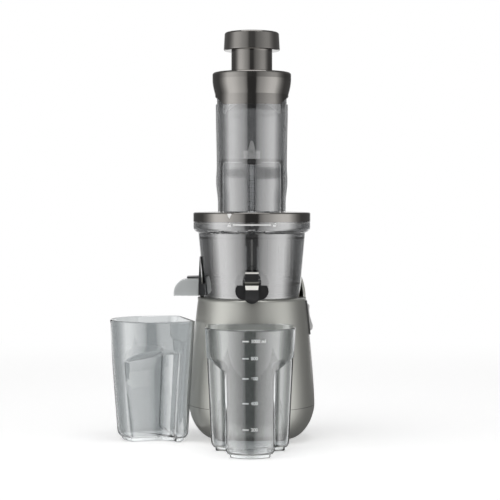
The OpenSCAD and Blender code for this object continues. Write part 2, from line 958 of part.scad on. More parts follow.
module bowl_seal() {
    color("#d0d0cc")
    ring(neck_bore_r, neck_bore_r - seal_wall, floor_z, bowl_wall + neck_h);
}

module pulp_duct() {
    color("#3a3b3e")
    difference() {
        union() {
            translate([-duct_out_x, -duct_half + fit_run, duct_z])
                cube([duct_out_x - chute_hole_near + duct_wall, 2 * duct_half - 2 * fit_run,
                      floor_z - duct_z]);
            translate([0, duct_half - fit_run, 0])
                rotate([90, 0, 0])
                    linear_extrude(2 * duct_half - 2 * fit_run)
                        polygon([[-bowl_r(hood_top_z) - seat_gap, hood_top_z], [-hood_x, hood_z],
                                 [-hood_x, floor_z - over],
                                 [-bowl_r(floor_z) - seat_gap - over, floor_z - over]]);
            translate([0, duct_half - fit_run, 0])
                rotate([90, 0, 0])
                    linear_extrude(2 * duct_half - 2 * fit_run)
                        polygon([[-hood_x + over, hood_z], [-hood_x + over, hood_z - duct_wall],
                                 [-hood_tip_x, spout_top_z + 2 * seat_gap],
                                 [-hood_tip_x, spout_top_z + 2 * seat_gap + duct_wall]]);
        }
        translate([-duct_out_x - over, -duct_half + duct_wall, duct_z + duct_wall])
            cube([duct_out_x - chute_hole_near + over, 2 * (duct_half - duct_wall),
                  floor_z - duct_z - 2 * duct_wall]);
        translate([-chute_hole_far, -chute_hole_half, duct_z + duct_wall])
            cube([chute_hole_far - chute_hole_near, 2 * chute_hole_half, base_wall + floor_z - duct_z]);
        translate([0, 0, duct_z - over])
            rotate_extrude()
                polygon([[bowl_r(floor_z) - bowl_wall, floor_z - duct_z + over],
                         [bowl_r(hood_top_z) - bowl_wall, hood_top_z - duct_z + over],
                         [bowl_r(hood_top_z) + seat_gap, hood_top_z - duct_z + over],
                         [bowl_r(floor_z) + seat_gap, floor_z - duct_z + over]]);
    }
}

module spout_outline(inset) {
    x0 = -spout_x + inset;
    top = spout_top_z - inset;
    polygon(concat(
        [[-spout_root_x, spout_low_z - (inset > 0 ? over : 0)], [x0, spout_low_z - (inset > 0 ? over : 0)]],
        [for (a = [180 : -10 : 90])
            [x0 + (spout_round - inset) * (1 + cos(a)), top - (spout_round - inset) * (1 - sin(a))]],
        [[-spout_root_x, top]]));
}

module pulp_spout() {
    color("#b4babd", 0.8)
    difference() {
        translate([0, spout_half, 0])
            rotate([90, 0, 0])
                linear_extrude(2 * spout_half)
                    spout_outline(0);
        translate([0, spout_half - spout_wall, 0])
            rotate([90, 0, 0])
                linear_extrude(2 * (spout_half - spout_wall))
                    spout_outline(spout_wall);
        translate([-duct_out_x - 2 * seat_gap, -spout_half + spout_wall, spout_low_z - over])
            cube([duct_out_x, 2 * (spout_half - spout_wall),
                  spout_top_z - spout_low_z - spout_wall + over]);
        rotate_extrude()
            polygon([[0, bowl_z - over], [bowl_r(bowl_z) + seat_gap, bowl_z - over],
                     [bowl_r(spout_top_z) + seat_gap, spout_top_z + over], [0, spout_top_z + over]]);
    }
}

// Strainer and brush

module strainer_frame() {
    flange_z = strainer_top_z - strainer_flange_t;
    flange_out = bowl_r(strainer_top_z) - bowl_wall - seat_gap - over;
    color("#3c3f42")
    difference() {
        union() {
            ring(strainer_r, strainer_r - strainer_wall, strainer_z, strainer_top_z - strainer_z);
            translate([0, 0, strainer_z])
                cylinder(r = strainer_r, h = strainer_floor_t);
            ring(flange_out, strainer_r - strainer_wall, flange_z, strainer_flange_t);
            translate([-chute_hole_far, -chute_hole_half, floor_z])
                cube([chute_hole_far - chute_hole_near, 2 * chute_hole_half, strainer_z - floor_z + over]);
        }
        translate([0, 0, strainer_z - over])
            cylinder(r = auger_neck_r + 2 * seat_gap, h = strainer_floor_t + 2 * over);
        translate([-chute_hole_far + duct_wall / 2, -chute_hole_half + duct_wall / 2, floor_z - over])
            cube([chute_hole_far - chute_hole_near - duct_wall, 2 * chute_hole_half - duct_wall, base_r]);
        around(strainer_slots, 180 / strainer_slots)
            translate([strainer_r, 0, 0]) {
                translate([-2 * strainer_wall, -slot_w / 2, slot_low_z])
                    cube([4 * strainer_wall, slot_w, slot_high_z - slot_low_z]);
                for (z = [slot_low_z, slot_high_z])
                    translate([-2 * strainer_wall, 0, z])
                        rotate([0, 90, 0])
                            cylinder(r = slot_w / 2, h = 4 * strainer_wall);
            }
    }
}

module strainer_mesh() {
    r = strainer_r - strainer_wall - seat_gap / 3;
    color("#b9bcbe")
    ring(r, r - mesh_t, strainer_z + strainer_floor_t,
         strainer_top_z - strainer_z - strainer_floor_t - ledge_h);
}

module brush_idler() {
    color("#e2e0d8")
    translate([idler_distance, 0, 0])
        difference() {
            rotate([0, 0, 180 + 180 / idler_teeth])
                gear(idler_teeth, brush_module, brush_gear_z, brush_gear_h);
            translate([0, 0, brush_gear_z - over])
                cylinder(r = idler_pin_r + fit_run, h = brush_gear_h + 2 * over);
        }
}

module brush_frame() {
    root_r = brush_module * (ring_teeth / 2 + root_clear_share);
    skirt_z = floor_top_z + seat_gap;
    gear_top_z = brush_gear_z + brush_gear_h;
    color("#45484c")
    difference() {
        union() {
            translate([0, 0, skirt_z])
                cylinder(r = root_r + ring_wall, h = gear_top_z - skirt_z);
            translate([0, 0, skirt_z])
                cylinder(r = brush_out_r, h = brush_band);
            around(brush_posts)
                sector(brush_out_r - seat_gap, brush_in_r + seat_gap, skirt_z + over,
                       brush_top_z - skirt_z - 2 * over, 0, brush_post_angle);
            ring(brush_out_r, brush_in_r, brush_top_z - brush_band, brush_band);
        }
        translate([0, 0, brush_gear_z - over / 2])
            linear_extrude(brush_gear_h + over)
                rotate([0, 0, 180 / ring_teeth])
                    polygon(gear_points(ring_teeth, brush_module, root_clear_share, tip_clear_share,
                                        -backlash_share));
        translate([0, 0, skirt_z - over])
            cylinder(r = root_r + over / 2, h = brush_gear_z - skirt_z + over);
    }
}

module brush_wipers() {
    color("#c9c7bf")
    around(wiper_count, wiper_angle)
        for (span = [[strainer_r + 0.4, brush_in_r], [brush_out_r, wiper_reach]])
            translate([span[0], -wiper_t / 2, brush_gear_z + over])
                cube([span[1] - span[0], wiper_t, brush_top_z - brush_gear_z - brush_band]);
    color("#c9c7bf")
    around(wiper_count, wiper_angle)
        translate([brush_in_r, -wiper_t / 2, brush_top_z - brush_band - 2 * wiper_t])
            cube([brush_out_r - brush_in_r, wiper_t, wiper_t]);
}

// Auger

function flight_point(r, a, z) = [r * cos(a), r * sin(a), z];

// One flight: a bar of four corners swept up a helix that narrows towards its top.
module flight() {
    low = auger_disc_z + auger_disc_t - over;
    rise = auger_top_z - low - flight_t;
    turn = 360 * rise / flight_pitch;
    rings = [for (i = [0 : flight_steps])
        let (u = i / flight_steps,
             a = -u * turn,
             z = low + u * rise,
             r_out = flight_r - (flight_r - flight_top_r) * u * u,
             r_in = core_top_r * flight_root_share)
        each [flight_point(r_in, a, z), flight_point(r_out, a, z + flight_t / 4),
              flight_point(r_out, a, z + 0.75 * flight_t), flight_point(r_in, a, z + flight_t)]];
    sides = [for (i = [0 : flight_steps - 1], k = [0 : 3])
        let (p = 4 * i + k, q = 4 * i + (k + 1) % 4)
        each [[p, p + 4, q], [q, p + 4, q + 4]]];
    last = 4 * flight_steps;
    polyhedron(points = rings,
               faces = concat([[0, 1, 2], [0, 2, 3]], sides,
                              [[last, last + 2, last + 1], [last, last + 3, last + 2]]));
}

module auger() {
    low = brush_gear_z;
    color("#55585c")
    difference() {
        union() {
            gear(sun_teeth, brush_module, low, brush_gear_h);
            translate([0, 0, low])
                cylinder(r = auger_neck_r, h = auger_disc_z - low + over);
            translate([0, 0, auger_disc_z])
                cylinder(r1 = flight_r - over, r2 = flight_r, h = auger_disc_t / 2);
            translate([0, 0, auger_disc_z + auger_disc_t / 2])
                cylinder(r = flight_r, h = auger_disc_t / 2);
            translate([0, 0, auger_disc_z + auger_disc_t])
                cylinder(r1 = core_low_r, r2 = core_top_r, h = auger_top_z - auger_disc_z - auger_disc_t);
            around(flight_count)
                flight();
        }
        translate([0, 0, low - over])
            cylinder(r = hex_w / sqrt(3) + hex_play, h = hex_z + hex_h - low + 2 * seat_gap, $fn = 6);
        translate([0, 0, rod_low_z])
            cylinder(r = rod_r + fit_run, h = base_r);
    }
}

module auger_rod() {
    color("#9ea2a6")
    union() {
        translate([0, 0, rod_low_z])
            cylinder(r = rod_r, h = bridge_top_z + rod_above - over - rod_low_z);
        translate([0, 0, bridge_top_z + rod_above - over])
            cylinder(r1 = rod_r, r2 = rod_r - over, h = over);
    }
}

// Lid and chute

module lid_ring() {
    in_r = chute_low_r + seat_gap / 3;
    color("#4a4845")
    rotate_extrude()
        polygon(concat(
            [[in_r, lid_z], [in_r + lid_ring_wall, lid_z],
             [in_r + lid_ring_wall, lid_top_z - lid_ring_wall],
             [flange_r - lid_ring_wall, lid_top_z - lid_ring_wall - lid_crown],
             [flange_r - lid_ring_wall, lid_z],
             [flange_r, lid_z]],
            [for (a = [0 : 15 : 90])
                [flange_r - lid_round + lid_round * cos(a),
                 lid_top_z - lid_crown - lid_round + lid_round * sin(a)]],
            [[in_r, lid_top_z]]));
}

// Outer radius of the chute: eased from one key height to the next
chute_foot_h = 9;
chute_bulge_h = 36.7;
chute_waist_h = 54.7;
chute_keys = [[lid_z, chute_low_r], [lid_top_z + chute_foot_h, chute_low_r],
              [lid_top_z + chute_bulge_h, chute_bulge_r], [lid_top_z + chute_waist_h, chute_waist_r],
              [collar_low_z, chute_top_r]];
chute_steps = 10;

function eased(a, b, u) = a + (b - a) * (1 - cos(180 * u)) / 2;
chute_points = [for (k = [0 : len(chute_keys) - 2], i = [0 : chute_steps - 1])
    let (u = i / chute_steps, p = chute_keys[k], q = chute_keys[k + 1])
    [eased(p[1], q[1], u), p[0] + (q[0] - p[0]) * u]];

module feed_chute() {
    plate_z = lid_z - lid_plate_t;
    hide_z = collar_low_z + over;
    color("#7a7f85", 0.4)
    difference() {
        union() {
            rotate_extrude()
                polygon(concat(
                    chute_points,
                    [[chute_top_r, collar_low_z], [chute_top_r, hide_z], [chute_top_r - tube_step, hide_z],
                     [chute_top_r - tube_step, chute_top_z],
                     [chute_top_r - chute_wall - over / 2, chute_top_z],
                     [chute_top_r - chute_wall - over / 2, hide_z]],
                    [for (i = [len(chute_points) - 1 : -1 : 0])
                        [chute_points[i][0] - chute_wall, chute_points[i][1]]]));
            rotate_extrude()
                polygon([[lid_hole_r, plate_z], [lid_hole_r, lid_z], [plate_r, lid_z], [plate_r, plate_z],
                         [skirt_r, plate_z], [skirt_r, plate_z - skirt_h],
                         [skirt_r - skirt_wall, plate_z - skirt_h],
                         [skirt_r - skirt_wall, plate_z]]);
            around(lug_count, 45)
                sector(skirt_r + tab_w, skirt_r - over, plate_z - skirt_h, tab_h, 0, lug_angle);
        }
        ring(plate_r + over, plate_r - 1.5 * seal_r, seal_z - seal_r, 2 * seal_r);
    }
}

module lid_seal() {
    color("#dcdcd8")
    translate([0, 0, seal_z])
        rotate_extrude()
            translate([plate_r - seal_r / 2, 0])
                circle(r = seal_r, $fn = 32);
}

module bridge_outline(inset) {
    half = chute_low_r - chute_wall - seat_gap - inset;
    top = bridge_top_z - inset;
    r = bridge_round - inset;
    polygon(concat(
        [[-half, lid_z - (inset > 0 ? over : 0)], [half, lid_z - (inset > 0 ? over : 0)]],
        [for (a = [0 : 15 : 90]) [half - r + r * cos(a), top - r + r * sin(a)]],
        [for (a = [90 : 15 : 180]) [-half + r + r * cos(a), top - r + r * sin(a)]]));
}

module bearing_bridge() {
    color("#5d6268", 0.6)
    difference() {
        intersection() {
            union() {
                translate([0, bridge_w / 2, 0])
                    rotate([90, 0, 0])
                        linear_extrude(bridge_w)
                            difference() {
                                bridge_outline(0);
                                bridge_outline(bridge_t);
                            }
                translate([0, 0, bridge_top_z - bridge_t - hub_drop])
                    cylinder(r = hub_r, h = bridge_t + hub_drop);
            }
            translate([0, 0, lid_z])
                cylinder(r = chute_low_r - chute_wall - seat_gap, h = chute_h);
        }
        translate([0, 0, bridge_top_z - bridge_t - hub_drop - over])
            cylinder(r = rod_r + bridge_bore_play, h = bridge_t + hub_drop + 2 * over);
    }
}

module bearing_cap() {
    color("#b8bbbe")
    difference() {
        union() {
            translate([0, 0, bridge_top_z])
                linear_extrude(knurl_h)
                    polygon([for (i = [0 : 2 * knurl_count - 1])
                        let (r = knurl_r * (i % 2 == 0 ? 1 : 1 - knurl_depth_share))
                        r * [cos(180 * i / knurl_count), sin(180 * i / knurl_count)]]);
            translate([0, 0, bridge_top_z + knurl_h])
                cylinder(r1 = cone_low_r, r2 = cone_top_r, h = cone_h - cone_top_r);
            translate([0, 0, bridge_top_z + knurl_h + cone_h - cone_top_r])
                sphere(r = cone_top_r, $fn = 32);
        }
        translate([0, 0, bridge_top_z - over])
            cylinder(r = rod_r + fit_run, h = rod_above + 2 * over);
    }
}

// Collar and pusher

module feed_collar() {
    hole_r = stem_r + seat_gap;
    in_r = chute_top_r - tube_step + seat_gap;
    color("#4d4b48")
    difference() {
        rotate_extrude()
            polygon(concat(
                [[chute_top_r + seat_gap, collar_low_z], [hem_out_r, collar_low_z]],
                [for (a = [0 : 15 : 90])
                    [hem_out_r + (collar_r - hem_out_r) * sin(a),
                     collar_taper_z + (collar_round_z - collar_taper_z) * a / 90]],
                [for (a = [0 : 15 : 90])
                    [collar_r - collar_edge + collar_edge * cos(a),
                     collar_top_z - collar_edge + collar_edge * sin(a)]],
                [[hole_r + collar_edge, collar_top_z - over], [hole_r, collar_top_z - 2 * over],
                 [hole_r, chute_top_z + seat_gap], [in_r, chute_top_z + seat_gap],
                 [in_r, collar_low_z + 2 * over], [chute_top_r + seat_gap, collar_low_z + 2 * over]]));
        translate([0, 0, hem_side_z - hem_r])
            rotate([0, 90, 0])
                cylinder(r = hem_r, h = 4 * hem_r, center = true);
    }
}

module collar_liner() {
    color("#cfd3d5", 0.6)
    difference() {
        union() {
            ring(liner_r, liner_r - liner_wall, liner_low_z, chute_top_z - liner_low_z);
            ring(liner_r + 2 * liner_wall, stem_r + 2 * seat_gap, chute_top_z - liner_wall,
                 liner_wall + seat_gap);
        }
        translate([0, 0, liner_low_z - liner_arch_drop])
            rotate([90, 0, 0])
                cylinder(r = liner_arch_r, h = 4 * liner_r, center = true);
    }
}

module pusher() {
    in_r = stem_r - collar_wall;
    color("#4f4d4a")
    difference() {
        rotate_extrude()
            polygon(concat(
                [[in_r, stem_low_z], [stem_r - over / 2, stem_low_z], [stem_r, stem_low_z + over],
                 [stem_r, cap_z],
                 [cap_r - over, cap_z], [cap_r, cap_z + over], [cap_r, cap_z + over + over],
                 [cap_r - over, cap_z + cap_h - cap_round - cap_crown]],
                [for (a = [0 : 15 : 75])
                    [cap_r - over - cap_round + cap_round * cos(a),
                     cap_z + cap_h - cap_round - cap_crown + cap_round * sin(a)]],
                [for (i = [4 : -1 : 0])
                    [(cap_r - over - cap_round) * i / 4, cap_z + cap_h - cap_crown * i * i / 16]],
                [[0, cap_z + cap_h - cap_crown - collar_wall],
                 [in_r, cap_z + cap_h - cap_crown - collar_wall]]));
        translate([-groove_w / 2, -stem_r - over, stem_low_z - over])
            cube([groove_w, over + groove_d, cap_z - stem_low_z + over]);
    }
}

// Outlet cap

module cap_bracket() {
    color("#1f1f21")
    difference() {
        translate([-bracket_half, rod_y - rod_pin_r / 2, rod_z])
            cube([2 * bracket_half, rod_pin_r / 2 + bracket_deep + bracket_half, bracket_high_z - rod_z]);
        translate([-bracket_half - over, rod_y, rod_z])
            rotate([0, 90, 0])
                cylinder(r = rod_pin_r + fit_run, h = 2 * bracket_half + 2 * over);
        translate([-bracket_half - over, rod_y - base_wall, rod_z - over])
            cube([2 * bracket_half + 2 * over, base_wall, rod_pin_r + over]);
        nozzle_place()
            translate([0, 0, -nozzle_len])
                cylinder(r = nozzle_r + fit_run, h = 3 * nozzle_len);
        rotate_extrude()
            polygon([[0, bowl_z], [bowl_r(bowl_z) + nozzle_flange_t + fit_run, bowl_z],
                     [bowl_r(slot_low_z) + nozzle_flange_t + fit_run, slot_low_z + neck_h],
                     [0, slot_low_z + neck_h]]);
    }
}

module cap_rod() {
    color("#c4c6c8")
    translate([-rod_len / 2, rod_y, rod_z])
        rotate([0, 90, 0])
            cylinder(r = rod_pin_r, h = rod_len);
}

module cap_face() {
    for (x = [-cap_lobe_x, cap_lobe_x])
        translate([x, cap_lobe_z])
            circle(r = cap_lobe_r);
    translate([0, cap_chin_z])
        circle(r = cap_chin_r);
    translate([-cap_lobe_x, cap_chin_z])
        square([2 * cap_lobe_x, cap_lobe_z - cap_chin_z]);
}

module outlet_cap() {
    low = rod_z - rod_pin_r - seat_gap;
    color("#161618")
    difference() {
        union() {
            intersection() {
                translate([0, cap_y, 0])
                    rotate([90, 0, 0])
                        linear_extrude(cap_t)
                            cap_face();
                translate([-base_r, -2 * base_r, deck_z - base_r])
                    cube([2 * base_r, 2 * base_r, low - deck_z + base_r]);
            }
            for (x = [-rod_len / 2, rod_len / 2 - arm_w])
                translate([x, rod_y, rod_z])
                    rotate([0, 90, 0])
                        cylinder(r = arm_r, h = arm_w);
            for (x = [-rod_len / 2, rod_len / 2 - arm_w])
                translate([x, rod_y - arm_r, low - 2 * arm_r])
                    cube([arm_w, 2 * arm_r, rod_z - low + 2 * arm_r]);
            translate([-tongue_half, 0, 0])
                rotate([90, 0, 90])
                    linear_extrude(2 * tongue_half)
                        polygon([[cap_y - cap_t + over, low - over], [cap_y - cap_t - over, low - over],
                                 [cap_y - cap_t - tongue_out, low - tongue_out],
                                 [cap_y - cap_t - tongue_out / 2, cap_chin_z - tongue_out],
                                 [cap_y - cap_t + over, cap_chin_z - tongue_out]]);
        }
        translate([-rod_len / 2 - over, rod_y, rod_z])
            rotate([0, 90, 0])
                cylinder(r = rod_pin_r + fit_run / 5, h = rod_len + 2 * over);
    }
}

module cap_plug() {
    color("#2b2b2d")
    translate([0, cap_y, nozzle_tip_z - over])
        rotate([-90, 0, 0])
            cylinder(r1 = plug_r, r2 = plug_r - over, h = plug_t);
}

// Jug: an outline that changes with height, skinned from foot to rim and back down inside

rim_steps = 12;
nose_steps = 5;
corner_steps = 4;

function lerp(a, b, u) = a + (b - a) * u;
function level(z) = z / jug_h;
function back_y(z) = (jug_w - jug_foot_w) / 2 * level(z);
function side_x(z) = lerp(jug_foot_w, jug_w, level(z)) / 2;
function front_y(z) = back_y(z) - lerp(jug_foot_d, jug_d, level(z));

function ellipse_point(z, a) = [side_x(z) * cos(a), front_y(z) + rim_curve_d * (1 - sin(a))];
nose_a = acos(nose_half / (jug_foot_w / 2));

function recess_point(z, s) =
    let (wing = [side_x(z) - wing_round, back_y(z) - wing_y - wing_round],
         mid = [recess_mid_x, back_y(z) - recess_mid_y],
         nose = [nose_half, front_y(z) + nose_corner_y])
    (1 - s) * (1 - s) * wing + 2 * s * (1 - s) * mid + s * s * nose;

// Right half of the outline from the back centre to the nose: [x, y, share of the recess]
function half_outline(z, blend) = concat(
    [[0, back_y(z)]],
    [for (i = [0 : corner_steps])
        let (a = 90 - 90 * i / corner_steps)
        [side_x(z) - jug_corner_r * (1 - cos(a)), back_y(z) - jug_corner_r * (1 - sin(a))]],
    [for (i = [0 : rim_steps])
        let (plain = ellipse_point(z, nose_a * i / rim_steps),
             cut = i == 0 ? [side_x(z), back_y(z) - wing_y] : recess_point(z, (i - 1) / (rim_steps - 1)))
        lerp(cut, plain, blend)],
    [for (i = [1 : nose_steps])
        ellipse_point(z, lerp(nose_a, 90, i / nose_steps))]);

half_count = 2 + corner_steps + rim_steps + 1 + nose_steps;
function ledge_of(i) =
    let (s = min(1, max(0, (i - 3 - corner_steps) / (rim_steps - 1))))
    ledge_z - ledge_drop * s * s;

function mirrored(half) = concat(half, [for (i = [len(half) - 2 : -1 : 1]) [-half[i][0], half[i][1]]]);
full_count = 2 * half_count - 2;
function ledge_at(i) = ledge_of(i < half_count ? i : full_count - i);

function inset_points(pts, d) = [for (i = [0 : len(pts) - 1])
    let (n = len(pts), t = pts[(i + 1) % n] - pts[(i + n - 1) % n])
    pts[i] - d * [-t[1], t[0]] / norm(t)];

// A level is a height, a share that follows the ledge, the inset and the recess blend
function jug_ring(height, follow, inset, blend) =
    let (pts = inset_points(mirrored(half_outline(height, blend)), inset))
    [for (i = [0 : full_count - 1])
        [pts[i][0], pts[i][1], height + follow * (ledge_at(i) - ledge_z)]];

jug_floor_z = jug_foot_h + jug_wall;
jug_levels = [
    [0, 0, jug_foot_inset, 0],
    [jug_foot_h, 0, jug_foot_inset, 0],
    [jug_foot_h + jug_round_h / 5, 0, jug_foot_inset / 2, 0],
    [jug_foot_h + jug_round_h / 2, 0, jug_foot_inset / 6, 0],
    [jug_foot_h + jug_round_h, 0, 0, 0],
    [ledge_z / 2, 0.5, 0, 0],
    [ledge_z, 1, 0, 0],
    [ledge_z + ledge_slope / 2, 1, 0, 0.6],
    [ledge_z + ledge_slope, 1, 0, 1],
    [lerp(ledge_z, jug_h, 0.6), 0.4, 0, 1],
    [jug_h, 0, 0, 1]];
inner_levels = [
    [jug_h, 0, jug_wall, 1],
    [lerp(ledge_z, jug_h, 0.6), 0.4, jug_wall, 1],
    [ledge_z + ledge_slope - jug_wall / 4, 1, jug_wall, 1],
    [ledge_z + ledge_slope / 2 - jug_wall / 4, 1, jug_wall, 0.6],
    [ledge_z - jug_wall / 4, 1, jug_wall, 0],
    [ledge_z / 2, 0.5, jug_wall, 0],
    [jug_foot_h + jug_round_h, 0, jug_wall, 0],
    [jug_floor_z + jug_wall / 2, 0, jug_wall + jug_foot_inset / 4, 0],
    [jug_floor_z, 0, jug_wall + jug_foot_inset, 0]];

module vessel() {
    levels = concat(jug_levels, inner_levels);
    points = [for (l = levels) each jug_ring(l[0], l[1], l[2], l[3])];
    n = full_count;
    sides = [for (j = [0 : len(levels) - 2], i = [0 : n - 1])
        let (p = j * n + i, q = j * n + (i + 1) % n)
        each [[p, p + n, q], [q, p + n, q + n]]];
    last = (len(levels) - 1) * n;
    polyhedron(points = points,
               faces = concat(sides,
                              [[for (i = [0 : n - 1]) i]],
                              [[for (i = [n - 1 : -1 : 0]) last + i]]));
}

module juice_jug() {
    color("#aab0b4", 0.4)
    translate([jug_x, jug_y, 0])
        vessel();
}

module pulp_container() {
    color("#aab0b4", 0.4)
    translate([container_x, container_y, 0])
        rotate([0, 0, -container_turn])
            vessel();
}

base_shell();
base_dish();
feet();
dish_screws();
cord_gland();
rocker_frame();
rocker_switch();
motor_bracket();
motor_stator();
motor_windings();
motor_rotor();
cooling_fan();
gearbox_tray();
gearbox_cover();
shaft_bush();
lay_pin();
lay_gear();
output_gear();
drive_shaft();
deck_seal();
juice_bowl();
bowl_seal();
pulp_duct();
pulp_spout();
strainer_frame();
strainer_mesh();
brush_idler();
brush_frame();
brush_wipers();
auger();
auger_rod();
lid_ring();
feed_chute();
lid_seal();
bearing_bridge();
bearing_cap();
feed_collar();
collar_liner();
pusher();
cap_bracket();
cap_rod();
outlet_cap();
cap_plug();
juice_jug();
pulp_container();
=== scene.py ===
import math
import bpy
import bmesh
from mathutils import Matrix, Vector


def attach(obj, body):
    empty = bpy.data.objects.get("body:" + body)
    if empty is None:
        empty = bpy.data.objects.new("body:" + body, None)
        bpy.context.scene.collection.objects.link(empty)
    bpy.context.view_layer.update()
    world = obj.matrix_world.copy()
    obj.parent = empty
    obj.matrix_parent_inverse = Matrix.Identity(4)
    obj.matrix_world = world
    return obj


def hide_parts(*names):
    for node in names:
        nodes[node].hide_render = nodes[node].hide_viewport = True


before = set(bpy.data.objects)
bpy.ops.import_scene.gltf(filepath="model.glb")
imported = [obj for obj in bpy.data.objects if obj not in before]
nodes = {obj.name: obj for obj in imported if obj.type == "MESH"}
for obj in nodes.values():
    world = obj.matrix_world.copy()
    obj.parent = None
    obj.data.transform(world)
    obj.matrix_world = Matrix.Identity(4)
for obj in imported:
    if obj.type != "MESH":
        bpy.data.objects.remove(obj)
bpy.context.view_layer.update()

# Worktop and studio: a narrow sweep of pale paper that curves up behind the juicer, in a dim room
# with a broad bank of soft light at each side. Camera and glass see both as white. Near the juicer
# the paper lets mirrored rays pass, so that glossy walls show the banks and not the floor.
sweep_half_front = 0.62
sweep_half_back = 1.15
sweep_front = -0.5
sweep_back = 3.2
sweep_rise = 3.4
sweep_round = 1.2
sweep_steps = 12


def feed(tree, source, socket):
    if isinstance(source, (int, float)):
        socket.default_value = source
    else:
        tree.links.new(source, socket)


def maths(tree, operation, *sources):
    node = tree.nodes.new("ShaderNodeMath")
    node.operation = operation
    for source, socket in zip(sources, node.inputs):
        feed(tree, source, socket)
    return node.outputs[0]


def eased_range(tree, value, low, high, at_low, at_high):
    node = tree.nodes.new("ShaderNodeMapRange")
    node.interpolation_type = "SMOOTHSTEP"
    for name, source in (("Value", value), ("From Min", low), ("From Max", high),
                         ("To Min", at_low), ("To Max", at_high)):
        feed(tree, source, node.inputs[name])
    return node.outputs["Result"]


def axes_of(tree, vector):
    node = tree.nodes.new("ShaderNodeSeparateXYZ")
    tree.links.new(vector, node.inputs[0])
    return node.outputs


def mixed(tree, share, first, second):
    node = tree.nodes.new("ShaderNodeMixShader")
    for source, socket in zip((share, first, second), node.inputs):
        tree.links.new(source, socket)
    return node.outputs[0]


def add_piece(name, shape, finish):
    mesh = bpy.data.meshes.new(name)
    shape.to_mesh(mesh)
    shape.free()
    mesh.materials.append(finish)
    piece = bpy.data.objects.new(name, mesh)
    bpy.context.scene.collection.objects.link(piece)
    return piece


near_paper = 0.3
far_paper = 1.3
near_glow = 0.38
plain_paper = 0.55
shown_paper = 1.05
passing_share = 0.85
paper = bpy.data.materials.new("worktop_paper")
paper.use_nodes = True
tree = paper.node_tree
tree.nodes.clear()
matt = tree.nodes.new("ShaderNodeBsdfDiffuse")
glow = tree.nodes.new("ShaderNodeEmission")
glow.inputs["Color"].default_value = (1, 1, 1, 1)
unseen = tree.nodes.new("ShaderNodeBsdfTransparent")
path = tree.nodes.new("ShaderNodeLightPath").outputs
spot = tree.nodes.new("ShaderNodeNewGeometry").outputs["Position"]
distant = eased_range(tree, axes_of(tree, spot)["Y"], near_paper, far_paper, 0.0, 1.0)
shown = maths(tree, "MAXIMUM", path["Is Camera Ray"], path["Is Transmission Ray"])
glow_level = maths(tree, "MULTIPLY_ADD", distant, 1 - near_glow, near_glow)
glow_share = maths(tree, "MAXIMUM", maths(tree, "MULTIPLY", shown, glow_level),
                   maths(tree, "MULTIPLY", path["Is Glossy Ray"], distant))
tree.links.new(maths(tree, "MULTIPLY_ADD", shown, shown_paper, plain_paper), matt.inputs["Color"])
mirrored = maths(tree, "MULTIPLY", path["Is Glossy Ray"],
                 maths(tree, "SUBTRACT", 1.0, path["Is Transmission Ray"]))
near_mirrored = maths(tree, "MULTIPLY", mirrored, maths(tree, "SUBTRACT", 1.0, distant))
paper_shader = mixed(tree, maths(tree, "MULTIPLY", near_mirrored, passing_share),
                     mixed(tree, glow_share, matt.outputs[0], glow.outputs[0]), unseen.outputs[0])
out = tree.nodes.new("ShaderNodeOutputMaterial")
tree.links.new(paper_shader, out.inputs["Surface"])

sweep_line = [(sweep_front, 0.0), (0.0, 0.0), (sweep_back - sweep_round, 0.0)]
for step in range(1, sweep_steps + 1):
    angle = math.radians(90 * step / sweep_steps)
    sweep_line.append((sweep_back - sweep_round + sweep_round * math.sin(angle),
                       sweep_round - sweep_round * math.cos(angle)))
sweep_line.append((sweep_back, sweep_rise))
sweep = bmesh.new()
rows = []
for y, z in sweep_line:
    half = sweep_half_front + (sweep_half_back - sweep_half_front) * max(0.0, y) / sweep_back
    rows.append([sweep.verts.new((side * half, y, z)) for side in (-1, 1)])
for low, high in zip(rows, rows[1:]):
    sweep.faces.new((low[0], low[1], high[1], high[0]))
worktop = add_piece("worktop", sweep, paper)
worktop.data.shade_smooth()

# The banks' level by the angle from the camera's side, as a share of half a turn. The four ranges
# ease over the height of a direction: two heights, then the values at them.
bank_stops = ((0.0, 0.02), (0.066, 0.02), (0.088, 0.26), (0.14, 0.48), (0.2, 0.62), (0.27, 0.84),
              (0.34, 1.0), (0.42, 0.98), (0.49, 0.5), (0.55, 0.2), (0.62, 0.06), (1.0, 0.03))
bank_strength = 2.3
right_loss = (0.02, 0.075, -0.08, -0.42)
level_fall = (0.045, 0.125, 1.0, 0.54)
ceiling_fall = (0.3, 0.85, 1.0, 0.3)
wall_glow = (0.07, 0.12, 0.06, 0.2)
room = bpy.data.worlds.new("studio")
bpy.context.scene.world = room
room.use_nodes = True
tree = room.node_tree
tree.nodes.clear()
path = tree.nodes.new("ShaderNodeLightPath").outputs
facing = axes_of(tree, tree.nodes.new("ShaderNodeTexCoord").outputs["Generated"])
angle = maths(tree, "ARCTAN2", maths(tree, "ABSOLUTE", facing["X"]),
              maths(tree, "MULTIPLY", facing["Y"], -1.0))
bank = tree.nodes.new("ShaderNodeValToRGB")
bank.color_ramp.interpolation = "LINEAR"
while len(bank.color_ramp.elements) < len(bank_stops):
    bank.color_ramp.elements.new(0.5)
for stop, (place, level) in zip(bank.color_ramp.elements, bank_stops):
    stop.position = place
    stop.color = (level, level, level, 1)
tree.links.new(maths(tree, "DIVIDE", angle, math.pi), bank.inputs["Fac"])
on_right = maths(tree, "MULTIPLY", maths(tree, "GREATER_THAN", facing["X"], 0.0),
                 eased_range(tree, facing["Z"], *right_loss))
banks = maths(tree, "MULTIPLY", bank.outputs["Color"], maths(tree, "ADD", on_right, 1.0))
by_height = maths(tree, "MULTIPLY", eased_range(tree, facing["Z"], *level_fall),
                  eased_range(tree, facing["Z"], *ceiling_fall))
